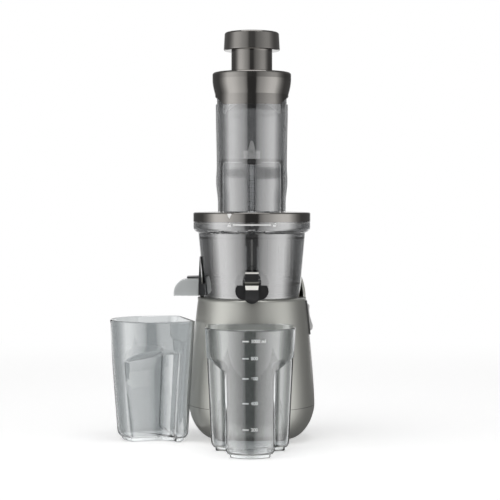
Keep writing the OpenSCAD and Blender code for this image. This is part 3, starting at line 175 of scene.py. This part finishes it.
banks = maths(tree, "MULTIPLY_ADD", maths(tree, "MULTIPLY", banks, by_height), bank_strength,
              eased_range(tree, facing["Z"], *wall_glow))
shown = maths(tree, "MAXIMUM", path["Is Camera Ray"], path["Is Transmission Ray"])
unshown_banks = maths(tree, "MULTIPLY", banks, maths(tree, "SUBTRACT", 1.0, shown))
fill = tree.nodes.new("ShaderNodeBackground")
fill.inputs["Color"].default_value = (1, 1, 1, 1)
tree.links.new(maths(tree, "ADD", shown, unshown_banks), fill.inputs["Strength"])
out = tree.nodes.new("ShaderNodeOutputWorld")
tree.links.new(fill.outputs[0], out.inputs["Surface"])

overhead = bpy.data.lights.new("overhead", "AREA")
overhead.shape = "RECTANGLE"
overhead.size = 1.2
overhead.size_y = 0.9
overhead.energy = 9.0
lamp_place = Vector((0, -0.35, 1.7))
lamp_aim = Vector((0, 0, 0.2))
lamp = bpy.data.objects.new("overhead", overhead)
lamp.location = lamp_place
lamp.rotation_euler = (lamp_aim - lamp_place).to_track_quat("-Z", "Y").to_euler()
bpy.context.scene.collection.objects.link(lamp)

eye = bpy.data.cameras.new("eye")
eye.lens = 111.6
eye.sensor_width = 36
eye.clip_end = 50
eye_pitch = 1.85
camera = bpy.data.objects.new("camera", eye)
camera.location = (-0.0022, -1.9, 0.293)
camera.rotation_euler = (math.radians(90 - eye_pitch), 0, 0)
bpy.context.scene.collection.objects.link(camera)
bpy.context.scene.camera = camera
bpy.context.scene.view_settings.view_transform = "Standard"

# Motor base: two shells of injection moulded ABS with a fine satin pearl finish, joined near the
# foot by screws through the dish. They are the CAD solids themselves. The dark line at their seam
# is
# painted shade: a thin near black strip in two arcs stands for the shadow in the gap between the
# shells, and the arcs end where they would pass the base's widest part.
colour_and_gloss = (("Colour", "NodeSocketColor", (0.5, 0.5, 0.5, 1)),
                    ("Gloss", "NodeSocketFloat", 0.3))


def surface_group(name, own_inputs):
    group = bpy.data.node_groups.new(name, "ShaderNodeTree")
    for label, kind, value in colour_and_gloss + own_inputs:
        socket = group.interface.new_socket(name=label, in_out="INPUT", socket_type=kind)
        socket.default_value = value
    for label, kind in (("Colour", "NodeSocketColor"), ("Roughness", "NodeSocketFloat"),
                        ("Height", "NodeSocketFloat")):
        group.interface.new_socket(name=label, in_out="OUTPUT", socket_type=kind)
    return group, group.nodes.new("NodeGroupInput").outputs


def noise(tree, vector, scale, detail):
    node = tree.nodes.new("ShaderNodeTexNoise")
    node.inputs["Detail"].default_value = detail
    feed(tree, scale, node.inputs["Scale"])
    tree.links.new(vector, node.inputs["Vector"])
    return node.outputs["Fac"]


def put_out(tree, colour, tone, roughness, height):
    scaled = tree.nodes.new("ShaderNodeVectorMath")
    scaled.operation = "SCALE"
    tree.links.new(colour, scaled.inputs[0])
    tree.links.new(tone, scaled.inputs["Scale"])
    leave = tree.nodes.new("NodeGroupOutput")
    for name, source in (("Colour", scaled.outputs[0]), ("Roughness", roughness),
                         ("Height", height)):
        tree.links.new(source, leave.inputs[name])


fine_detail = 3
cloud_size = 14
cloud_detail = 4
grain_bump = 0.5
grain, given = surface_group("moulded grain", (("Grain Size", "NodeSocketFloat", 900.0),
                                               ("Gloss Spread", "NodeSocketFloat", 0.06),
                                               ("Shade Spread", "NodeSocketFloat", 0.05)))
place = grain.nodes.new("ShaderNodeTexCoord").outputs["Object"]
fine = noise(grain, place, given["Grain Size"], fine_detail)
cloud = noise(grain, place, cloud_size, cloud_detail)
gloss = maths(grain, "MULTIPLY_ADD", maths(grain, "SUBTRACT", cloud, 0.5), given["Gloss Spread"],
              given["Gloss"])
shade = maths(grain, "MULTIPLY_ADD", maths(grain, "SUBTRACT", fine, 0.5), given["Shade Spread"],
              1.0)
put_out(grain, given["Colour"], shade, gloss, fine)


def textured(name, group, settings, strength, depth):
    finish = bpy.data.materials.new(name)
    finish.use_nodes = True
    tree = finish.node_tree
    skin = tree.nodes["Principled BSDF"]
    texture = tree.nodes.new("ShaderNodeGroup")
    texture.node_tree = group
    for label, value in settings.items():
        texture.inputs[label].default_value = value
    tree.links.new(texture.outputs["Colour"], skin.inputs["Base Color"])
    tree.links.new(texture.outputs["Roughness"], skin.inputs["Roughness"])
    if depth:
        bump = tree.nodes.new("ShaderNodeBump")
        bump.inputs["Strength"].default_value = strength
        bump.inputs["Distance"].default_value = depth
        tree.links.new(texture.outputs["Height"], bump.inputs["Height"])
        tree.links.new(bump.outputs["Normal"], skin.inputs["Normal"])
    return finish


def moulded(name, colour, gloss, size=900.0, spread=0.05, shade=0.05, depth=0.00002, **sockets):
    settings = {"Colour": (*colour, 1), "Grain Size": size, "Gloss": gloss,
                "Gloss Spread": spread, "Shade Spread": shade}
    finish = textured(name, grain, settings, grain_bump, depth)
    skin = finish.node_tree.nodes["Principled BSDF"]
    for socket, value in sockets.items():
        skin.inputs[socket.replace("_", " ")].default_value = value
    return finish


def dress(finish, *names):
    for name in names:
        skins = nodes[name].data.materials
        skins.clear()
        skins.append(finish)


base_satin = moulded("base_satin", (0.42, 0.42, 0.39), 0.34, size=1500, shade=0.1,
                     Coat_Weight=0.3, Coat_Roughness=0.2, Metallic=0.75)
dress(base_satin, "base_shell", "base_dish")

print_thick = 0.00012
bar_step = 0.002


def printed(name, shapes, radius, finish):
    sheet = bmesh.new()
    for outline in shapes:
        corners = []
        for along, up in outline:
            angle = along / radius
            corners.append(sheet.verts.new((radius * math.sin(angle), -radius * math.cos(angle),
                                            up)))
        sheet.faces.new(corners)
    bmesh.ops.triangulate(sheet, faces=sheet.faces)
    lifted = bmesh.ops.extrude_face_region(sheet, geom=sheet.faces[:])
    for part in lifted["geom"]:
        if isinstance(part, bmesh.types.BMVert):
            outward = Vector((part.co.x, part.co.y, 0)).normalized()
            part.co += outward * print_thick
    bmesh.ops.recalc_face_normals(sheet, faces=sheet.faces)
    return add_piece(name, sheet, finish)


def rectangle(x0, x1, z0, z1):
    return [(x0, z0), (x1, z0), (x1, z1), (x0, z1)]


def bar(x0, x1, z0, z1):
    count = max(1, int(abs(x1 - x0) / bar_step))
    edges = [x0 + (x1 - x0) * index / count for index in range(count + 1)]
    return [rectangle(left, right, z0, z1) for left, right in zip(edges, edges[1:])]


seam_radius = 0.07692
seam_height = 0.043
seam_half = 0.00025
seam_degrees = 80
seam_reach = math.radians(seam_degrees) * seam_radius
# Painted shade: a near black strip stands for the shadow in the seam between shell and dish.
seam_shade = moulded("seam_shadow", (0.05, 0.05, 0.048), 0.6, size=900, depth=0)
seam_arcs = []
for middle in (0.0, math.pi * seam_radius):
    seam_arcs += bar(middle - seam_reach, middle + seam_reach, seam_height - seam_half,
                     seam_height + seam_half)
seam_shadow_strip = printed("seam_shadow_strip", seam_arcs, seam_radius, seam_shade)
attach(seam_shadow_strip, "base")

# Feet and cord gland: black rubber pads glued under the dish, and a black sleeve in its rear wall
# that the mains cord would pass through.
rubber = moulded("foot_rubber", (0.018, 0.018, 0.018), 0.6, size=700, depth=0.00005)
dress(rubber, "feet", "cord_gland")

# Dish screws: four plated cross head screws of cold headed steel, which hold dish and shell
# together from below. Like all the metal pieces they show fine lines round the upright axis.
line_stretch = (0.02, 0.02, 1.0)
line_detail = 4
line_bump = 0.4
line_gloss = 0.16
tone_low = 0.86
tone_high = 1.12
turned, given = surface_group("turned metal", (("Lines", "NodeSocketFloat", 1500.0),))
squeeze = turned.nodes.new("ShaderNodeMapping")
squeeze.inputs["Scale"].default_value = line_stretch
place = turned.nodes.new("ShaderNodeTexCoord").outputs["Object"]
turned.links.new(place, squeeze.inputs["Vector"])
lines = noise(turned, squeeze.outputs[0], given["Lines"], line_detail)
tone = turned.nodes.new("ShaderNodeMapRange")
tone.inputs["To Min"].default_value = tone_low
tone.inputs["To Max"].default_value = tone_high
turned.links.new(lines, tone.inputs["Value"])
put_out(turned, given["Colour"], tone.outputs["Result"],
        maths(turned, "MULTIPLY_ADD", lines, line_gloss, given["Gloss"]), lines)


def metal(name, colour, gloss, lines=1500.0, depth=0.00002):
    settings = {"Colour": (*colour, 1), "Lines": lines, "Gloss": gloss}
    finish = textured(name, turned, settings, line_bump, depth)
    finish.node_tree.nodes["Principled BSDF"].inputs["Metallic"].default_value = 1.0
    return finish


steel = metal("turned_steel", (0.56, 0.57, 0.58), 0.2)
dress(steel, "dish_screws")

# Switch: a two position rocker with a bright moulded face, in a dark grey frame that snaps into a
# window on the right side of the base.
dress(moulded("frame_grey", (0.1, 0.1, 0.1), 0.3, size=1200), "rocker_frame")
rocker_face = moulded("rocker_face", (0.88, 0.88, 0.87), 0.2, size=1500, shade=0.02,
                      Coat_Weight=0.5)
dress(rocker_face, "rocker_switch")

# Motor: laminated stator with enamelled copper windings on a cast bracket, a steel rotor that
# carries the first pinion, and a black fan pressed on the lower end of its shaft.
cast_alloy = moulded("cast_alloy", (0.5, 0.51, 0.52), 0.45, size=500, depth=0.00008, Metallic=0.9)
dress(cast_alloy, "motor_bracket", "gearbox_tray", "gearbox_cover")
dress(metal("stator_stack", (0.3, 0.31, 0.32), 0.38, lines=2600), "motor_stator")
dress(metal("winding_copper", (0.62, 0.27, 0.12), 0.28, lines=1800, depth=0.0001), "motor_windings")
dress(steel, "motor_rotor")
dress(moulded("fan_black", (0.025, 0.025, 0.027), 0.42), "cooling_fan")

# Reduction gearbox: a moulded lay gear on a steel pin and a steel output gear on the drive shaft,
# which turns in a bronze bush and ends in a hexagon. A rubber seal closes the deck round it.
nylon = moulded("gear_nylon", (0.66, 0.63, 0.54), 0.42, size=600, Subsurface_Weight=0.15)
dress(nylon, "lay_gear")
dress(steel, "output_gear", "drive_shaft", "lay_pin")
dress(metal("bush_bronze", (0.6, 0.42, 0.2), 0.26), "shaft_bush")
dress(rubber, "deck_seal")

# Juice bowl: smoke tinted clear copolyester, moulded in one piece with its neck, ledge and nozzle,
# with a pale silicone seal in the neck. The glass tints its near and far walls apart and hardly
# tints light that goes in or out, so that the pieces inside stay visible.
inner_tint = (0.95, 0.95, 0.95)


def tinted_glass(name, tint, far_tint, gloss, far_gloss=0.0, **sockets):
    finish = moulded(name, tint, gloss, size=60, spread=0.02, shade=0.03, depth=0,
                     Transmission_Weight=1.0, **sockets)
    tree = finish.node_tree
    skin = tree.nodes["Principled BSDF"]
    colour = skin.inputs["Base Color"].links[0].from_socket
    path = tree.nodes.new("ShaderNodeLightPath").outputs
    from_inside = tree.nodes.new("ShaderNodeNewGeometry").outputs["Backfacing"]
    through = path["Is Transmission Ray"]
    leaving = maths(tree, "MULTIPLY", through, from_inside)
    entering = maths(tree, "SUBTRACT", through, leaving)
    mirrored = maths(tree, "SUBTRACT", path["Is Glossy Ray"], through)
    inward = maths(tree, "MAXIMUM", path["Is Diffuse Ray"], mirrored)
    for share, shade in ((entering, far_tint),
                         (maths(tree, "MAXIMUM", inward, leaving), inner_tint)):
        pick = tree.nodes.new("ShaderNodeMix")
        pick.data_type = "RGBA"
        tree.links.new(share, pick.inputs["Factor"])
        tree.links.new(colour, pick.inputs["A"])
        pick.inputs["B"].default_value = (*shade, 1)
        colour = pick.outputs["Result"]
    tree.links.new(colour, skin.inputs["Base Color"])
    coat = maths(tree, "MULTIPLY_ADD", entering, far_gloss, path["Is Camera Ray"])
    tree.links.new(coat, skin.inputs["Coat Weight"])
    return finish


smoke = tinted_glass("bowl_smoke", (0.06, 0.063, 0.066), (0.012, 0.013, 0.014), 0.04, IOR=1.3,
                     Coat_Roughness=0.04, Coat_IOR=2.8)
dress(smoke, "juice_bowl")
silicone = moulded("pale_silicone", (0.62, 0.61, 0.57), 0.5, size=700)
dress(silicone, "bowl_seal")

# Strainer and brush: a dark resin basket with upright slots over a steel mesh sleeve, and round it
# a turning frame with silicone wipers, driven through an idler under the basket.
dark_resin = moulded("basket_resin", (0.055, 0.057, 0.06), 0.3, size=900)
dress(dark_resin, "strainer_frame", "brush_frame")
dress(metal("mesh_steel", (0.5, 0.51, 0.52), 0.3, lines=5200), "strainer_mesh")
dress(nylon, "brush_idler")
dress(silicone, "brush_wipers")

# Auger: glass filled resin, moulded with two flights that narrow towards the top, on a ground steel
# rod that runs up into the bearing cap.
auger_resin = moulded("auger_resin", (0.075, 0.08, 0.085), 0.34, size=900)
dress(auger_resin, "auger")
dress(steel, "auger_rod")

# Pulp way: a dark resin channel under the bowl with a hood outside its wall, and a pale frosted
# spout that is pushed on the channel's end and pulls off for cleaning.
dress(dark_resin, "pulp_duct")
frosted = moulded("frosted_resin", (0.78, 0.8, 0.8), 0.32, size=500, shade=0.03,
                  Transmission_Weight=0.45, IOR=1.3, Coat_Weight=0.4)
dress(frosted, "pulp_spout")

# Lid: a glossy gunmetal ring clamps the clear chute, which has a plate, a skirt with four tabs and
# a silicone ring below, and a darker bridge across its lower part for the auger's upper bearing.
gunmetal = moulded("gunmetal_gloss", (0.204, 0.196, 0.186), 0.1, size=1600, spread=0.03,
                   shade=0.08, depth=0.000003, Metallic=1.0)
dress(gunmetal, "lid_ring")
chute_smoke = tinted_glass("chute_smoke", (0.13, 0.134, 0.138), (0.01, 0.011, 0.012), 0.03,
                           far_gloss=0.7, IOR=1.25, Coat_Roughness=0.03, Coat_IOR=2.5)
dress(chute_smoke, "feed_chute")
bridge_smoke = moulded("bridge_smoke", (0.012, 0.013, 0.014), 0.06, size=60, shade=0.03, depth=0,
                       Transmission_Weight=0.7, IOR=1.45)
dress(bridge_smoke, "bearing_bridge")
dress(silicone, "lid_seal")

# Marks on the ring: a white pointer printed on the lid ring, and on the bowl's flange under it the
# closed and open signs with the arrow between them that shows which way the lid turns.
ring_radius = 0.0721
lock_half = 0.002
lock_tall = 0.0024
bow_in = 0.0009
bow_out = 0.0015
bow_steps = 8
bow_rise = 0.0004
leg_low = 0.0002
leg_high = 0.0006


def padlock(middle, low, shift):
    top = low + lock_tall
    bow = middle + shift
    shapes = [rectangle(middle - lock_half, middle + lock_half, low, top)]
    for step in range(bow_steps):
        a, b = math.radians(180 * step / bow_steps), math.radians(180 * (step + 1) / bow_steps)
        shapes.append([(bow + r * math.cos(t), top + bow_rise + r * math.sin(t))
                       for r, t in ((bow_in, a), (bow_out, a), (bow_out, b), (bow_in, b))])
    shapes.append(rectangle(bow + bow_in, bow + bow_out, top - leg_low, top + leg_high))
    return shapes


white_print = moulded("white_print", (0.93, 0.93, 0.92), 0.4, size=1200, shade=0.02, depth=0)
lock_degrees = 21.6
lock_along = math.radians(lock_degrees) * ring_radius
pointer_half = 0.003
pointer_top = 0.2766
pointer_tip = 0.2708
pointer = printed("lid_pointer", [[(-lock_along - pointer_half, pointer_top),
                                   (-lock_along, pointer_tip),
                                   (-lock_along + pointer_half, pointer_top)]],
                  ring_radius, white_print)
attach(pointer, "lid")
arrow_reach = 0.0212
arrow_middle = 0.2634
arrow_half = 0.0007
head_long = 0.0022
head_half = 0.0016
tick_half = 0.0003
tick_tall = 0.0014
lock_drop = 0.0022
open_shift = 0.0014
signs = (padlock(-lock_along, arrow_middle - lock_drop, 0)
         + padlock(lock_along, arrow_middle - lock_drop, open_shift)
         + bar(-arrow_reach, arrow_reach, arrow_middle - arrow_half, arrow_middle + arrow_half)
         + [[(side * (arrow_reach + head_long), arrow_middle),
             (side * arrow_reach, arrow_middle + side * head_half),
             (side * arrow_reach, arrow_middle - side * head_half)] for side in (-1, 1)]
         + bar(-tick_half, tick_half, arrow_middle - tick_tall, arrow_middle + tick_tall))
turn_signs = printed("turn_signs", signs, ring_radius, white_print)
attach(turn_signs, "bowl")

# Bearing cap: a ribbed cup of satin steel with a drawn out tip, screwed down on the crown of the
# bridge. It holds the upper end of the auger's rod.
dress(metal("cap_satin_steel", (0.72, 0.72, 0.71), 0.03), "bearing_cap")

# Feed collar: moulded in glossy gunmetal resin and pushed on the top of the chute, with a pale
# frosted liner inside whose hem is arched.
dress(gunmetal, "feed_collar")
dress(frosted, "collar_liner")

# Pusher: a hollow gunmetal plunger with a groove down the front of its stem and a domed cap. It
# slides in the collar and is lifted out by hand.
dress(gunmetal, "pusher")

# Outlet cap: black rubber flap with a thumb tongue, which swings on a steel rod under its bracket.
# Thin pale plates on the bevelled face of the tongue and on the front edge of the bracket are
# painted highlights: they stand for the light that these glossy black faces mirror.
flap_rubber = moulded("flap_rubber", (0.014, 0.014, 0.015), 0.36, size=800, depth=0.00003)
dress(flap_rubber, "outlet_cap", "cap_plug")
dress(moulded("bracket_black", (0.02, 0.02, 0.021), 0.32, size=1200), "cap_bracket")
dress(metal("cap_rod_grey", (0.16, 0.16, 0.145), 0.4), "cap_rod")
# Painted highlight: a pale cream colour stands for light mirrored by the glossy black tongue and
# bracket edge.
cap_painted_highlight = moulded("cap_painted_highlight", (0.84, 0.83, 0.78), 0.45, size=900, shade=0.03, depth=0)


def thin_plate(name, corners, lift, finish):
    sheet = bmesh.new()
    low = [sheet.verts.new(point) for point in corners]
    high = [sheet.verts.new(Vector(point) + Vector(lift)) for point in corners]
    sheet.faces.new(high)
    sheet.faces.new(low[::-1])
    for index, point in enumerate(low):
        after = (index + 1) % len(low)
        sheet.faces.new((point, low[after], high[after], high[index]))
    bmesh.ops.recalc_face_normals(sheet, faces=sheet.faces)
    return add_piece(name, sheet, finish)


tongue_half_top = 0.0079
tongue_half_low = 0.0071
tongue_top = (-0.0918, 0.1926)
tongue_low = (-0.0965, 0.1879)
tongue_lift = (0, -0.0002, 0.0002)
tongue_highlight = thin_plate("tongue_highlight", [(-tongue_half_top, *tongue_top),
                                         (tongue_half_top, *tongue_top),
                                         (tongue_half_low, *tongue_low),
                                         (-tongue_half_low, *tongue_low)],
                         tongue_lift, cap_painted_highlight)
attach(tongue_highlight, "cap")
bracket_front = -0.08905
edge_half = 0.0078
edge_top = 0.2083
edge_low = 0.2065
edge_lift = (0, -0.0003, 0)
bracket_edge_highlight = thin_plate("bracket_edge_highlight", [(-edge_half, bracket_front, edge_top),
                                           (edge_half, bracket_front, edge_top),
                                           (edge_half, bracket_front, edge_low),
                                           (-edge_half, bracket_front, edge_low)],
                          edge_lift, cap_painted_highlight)
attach(bracket_edge_highlight, "bowl")

# Juice jug: clear copolyester with a drawn in nose between two finger recesses that end in a ledge,
# and a rolled rim. The wall is skinned from foot to rim and back down inside.
jug_half = 0.0525
jug_foot_half = 0.045
jug_depth = 0.097
jug_foot_depth = 0.08
jug_height = 0.147
jug_wall = 0.0022
jug_corner = 0.016
nose_half = 0.028
nose_back = 0.012
wing_back = 0.017
wing_round = 0.004
recess_middle = (0.020, 0.022)
rim_curve = 0.052
ledge_height = 0.107
ledge_fall = 0.0106
ledge_rise = 0.006
wing_steps = 3
recess_steps = 26
front_steps = 12
corner_steps = 10
nose_angle = math.acos(nose_half / jug_foot_half)


def blended(a, b, share):
    return a + (b - a) * share


def jug_front(z):
    up = z / jug_height
    return (jug_half - jug_foot_half) * up - blended(jug_foot_depth, jug_depth, up)


def half_plan(z, ledge_share):
    up = z / jug_height
    side = blended(jug_foot_half, jug_half, up)
    back = (jug_half - jug_foot_half) * up
    front = jug_front(z)
    points = [(0.0, back)]
    for step in range(corner_steps + 1):
        angle = math.radians(90 - 90 * step / corner_steps)
        points.append((side - jug_corner * (1 - math.cos(angle)),
                       back - jug_corner * (1 - math.sin(angle))))
    wing_x, wing_y = side - wing_round, back - wing_back - wing_round
    mid_x, mid_y = recess_middle[0], back - recess_middle[1]
    tip_x, tip_y = nose_half, front + nose_back
    for step in range(recess_steps + 1):
        angle = nose_angle * step / recess_steps
        plain = (side * math.cos(angle), front + rim_curve * (1 - math.sin(angle)))
        if step < wing_steps:
            turn = math.radians(90 * step / wing_steps)
            cut = (wing_x + wing_round * math.cos(turn),
                   back - wing_back - wing_round * math.sin(turn))
        else:
            s = (step - wing_steps) / (recess_steps - wing_steps)
            cut = ((1 - s) ** 2 * wing_x + 2 * s * (1 - s) * mid_x + s * s * tip_x,
                   (1 - s) ** 2 * wing_y + 2 * s * (1 - s) * mid_y + s * s * tip_y)
        points.append((blended(cut[0], plain[0], ledge_share),
                       blended(cut[1], plain[1], ledge_share)))
    for step in range(1, front_steps + 1):
        angle = blended(nose_angle, math.pi / 2, step / front_steps)
        points.append((side * math.cos(angle), front + rim_curve * (1 - math.sin(angle))))
    return points


def ledge_level(index):
    first = corner_steps + wing_steps + 1
    s = min(1.0, max(0.0, (index - first) / (recess_steps - wing_steps)))
    return -ledge_fall * s * s


def plan_ring(z, follow, inset, ledge_share):
    half = half_plan(z, ledge_share)
    count = len(half)
    full = half + [(-x, y) for x, y in half[-2:0:-1]]
    total = len(full)
    ring = []
    for index, (x, y) in enumerate(full):
        ahead = Vector(full[(index + 1) % total])
        behind = Vector(full[index - 1])
        along = (ahead - behind).normalized()
        own = index if index < count else total - index
        ring.append(Vector((x + inset * along.y, y - inset * along.x,
                            z + follow * ledge_level(own))))
    return ring


foot_inset = 0.005
foot_edge = 0.0012
foot_straight = 0.004
foot_round = 0.008
lip_drop = 0.003
lip_round = 0.0016
floor_top = 0.0062
floor_round = 0.0068
floor_inset = 0.0052
crease_degrees = 50
wall_steps = 6
ledge_steps = 8
lip_steps = 8
rim_steps = 4


def vessel_rings():
    foot_top = foot_straight + foot_round
    ledge_top = ledge_height + ledge_rise
    lip = jug_height - lip_drop
    rings = [plan_ring(0.0, 0, foot_inset + foot_edge, 0), plan_ring(foot_edge, 0, foot_inset, 0),
             plan_ring(foot_straight, 0, foot_inset, 0)]
    for step in range(1, wall_steps + 1):
        angle = math.radians(90 * step / wall_steps)
        rings.append(plan_ring(foot_straight + foot_round * (1 - math.cos(angle)), 0,
                               foot_inset * (1 - math.sin(angle)), 0))
    for step in range(1, wall_steps + 1):
        rings.append(plan_ring(blended(foot_top, ledge_height, step / wall_steps),
                               step / wall_steps, 0, 0))
    for step in range(1, ledge_steps + 1):
        ease = (1 - math.cos(math.pi * step / ledge_steps)) / 2
        rings.append(plan_ring(ledge_height + ledge_rise * step / ledge_steps, 1, 0, ease))
    for step in range(1, rim_steps + 1):
        rings.append(plan_ring(blended(ledge_top, lip, step / rim_steps), 1 - step / rim_steps,
                               0, 1))
    for step in range(1, lip_steps + 1):
        angle = math.radians(180 * step / lip_steps - 90)
        rings.append(plan_ring(jug_height - lip_round + lip_round * math.cos(angle), 0,
                               jug_wall / 2 + jug_wall / 2 * math.sin(angle), 1))
    for step in range(1, rim_steps + 1):
        rings.append(plan_ring(blended(lip, ledge_top, step / rim_steps), step / rim_steps,
                               jug_wall, 1))
    for step in range(1, ledge_steps + 1):
        ease = (1 + math.cos(math.pi * step / ledge_steps)) / 2
        rings.append(plan_ring(ledge_height + ledge_rise * (1 - step / ledge_steps), 1,
                               jug_wall, ease))
    for step in range(1, wall_steps + 1):
        rings.append(plan_ring(blended(ledge_height, floor_top + floor_round, step / wall_steps),
                               1 - step / wall_steps, jug_wall, 0))
    for step in range(1, wall_steps + 1):
        angle = math.radians(90 * step / wall_steps)
        rings.append(plan_ring(floor_top + floor_round * (1 - math.sin(angle)), 0,
                               jug_wall + floor_inset * (1 - math.cos(angle)), 0))
    return rings


def vessel(name, place, turn, finish):
    shape = bmesh.new()
    rings = [[shape.verts.new(point) for point in ring] for ring in vessel_rings()]
    total = len(rings[0])
    for low, high in zip(rings, rings[1:]):
        for index in range(total):
            after = (index + 1) % total
            shape.faces.new((low[index], high[index], high[after], low[after]))
    shape.faces.new(rings[0])
    shape.faces.new(rings[-1][::-1])
    bmesh.ops.recalc_face_normals(shape, faces=shape.faces)
    piece = add_piece(name, shape, finish)
    piece.data.shade_smooth()
    piece.data.set_sharp_from_angle(angle=math.radians(crease_degrees))
    piece.data.transform(Matrix.Translation(place) @ Matrix.Rotation(math.radians(turn), 4, "Z"))
    return piece


clear = tinted_glass("vessel_clear", (0.46, 0.495, 0.505), (0.22, 0.24, 0.245), 0.04, IOR=1.16,
                     Coat_Roughness=0.03, Coat_IOR=2.4)
jug_place = (-0.002, -0.0815, 0.0)
jug = vessel("jug_body", jug_place, 0, clear)
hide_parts("juice_jug")
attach(jug, "jug")

# Jug scale: five marks and their numbers in white, printed on the front of the nose from the foot
# to the rim. Each is a thin raised sheet that follows the curve of the wall.
scale_levels = ((0.1346, "1000 ml"), (0.1152, "800"), (0.0924, "600"), (0.0642, "400"),
                (0.0342, "200"))
mark_left = -0.0087
mark_long = 0.007
mark_half = 0.0008
mark_steps = 4
number_left = 0.0009
number_size = 0.0052
number_weight = 0.00022
scale_gap = 0.0002
scale_thick = 0.00015
weld_gap = 0.00001
scale_white = moulded("scale_white", (0.93, 0.94, 0.94), 0.4, size=900, shade=0.02, depth=0)


def nose_point(x, z):
    side = blended(jug_foot_half, jug_half, z / jug_height)
    curve = rim_curve * (1 - math.sqrt(max(0.0, 1 - (x / side) ** 2)))
    return x, jug_front(z) + curve - scale_gap, z


scale_sheet = bmesh.new()
for level_height, words in scale_levels:
    letters = bpy.data.curves.new("letters", "FONT")
    letters.body = words
    letters.size = number_size
    letters.offset = number_weight
    letters.align_y = "CENTER"
    holder = bpy.data.objects.new("letters", letters)
    flat = bpy.data.meshes.new_from_object(holder)
    for polygon in flat.polygons:
        points = [flat.vertices[index].co for index in polygon.vertices]
        scale_sheet.faces.new([
            scale_sheet.verts.new(nose_point(number_left + point.x, level_height + point.y))
            for point in points])
    bpy.data.objects.remove(holder)
    bpy.data.curves.remove(letters)
    bpy.data.meshes.remove(flat)
    for step in range(mark_steps):
        outline = rectangle(mark_left + mark_long * step / mark_steps,
                            mark_left + mark_long * (step + 1) / mark_steps,
                            level_height - mark_half, level_height + mark_half)
        scale_sheet.faces.new([scale_sheet.verts.new(nose_point(x, z)) for x, z in outline])
bmesh.ops.remove_doubles(scale_sheet, verts=scale_sheet.verts, dist=weld_gap)
bmesh.ops.recalc_face_normals(scale_sheet, faces=scale_sheet.faces)
for face in scale_sheet.faces:
    if face.normal.y > 0:
        face.normal_flip()
raised = bmesh.ops.extrude_face_region(scale_sheet, geom=scale_sheet.faces[:])
for part in raised["geom"]:
    if isinstance(part, bmesh.types.BMVert):
        part.co.y -= scale_thick
jug_scale = add_piece("jug_scale", scale_sheet, scale_white)
jug_scale.data.transform(Matrix.Translation(jug_place))
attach(jug_scale, "jug")

# Pulp container: the same clear moulding as the jug but without its scale. It stands to the left
# with its flat back to the base, and catches what falls from the spout.
container_place = (-0.086, 0.010, 0.0)
container_turn = -75
container = vessel("container_body", container_place, container_turn, clear)
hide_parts("pulp_container")
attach(container, "container")
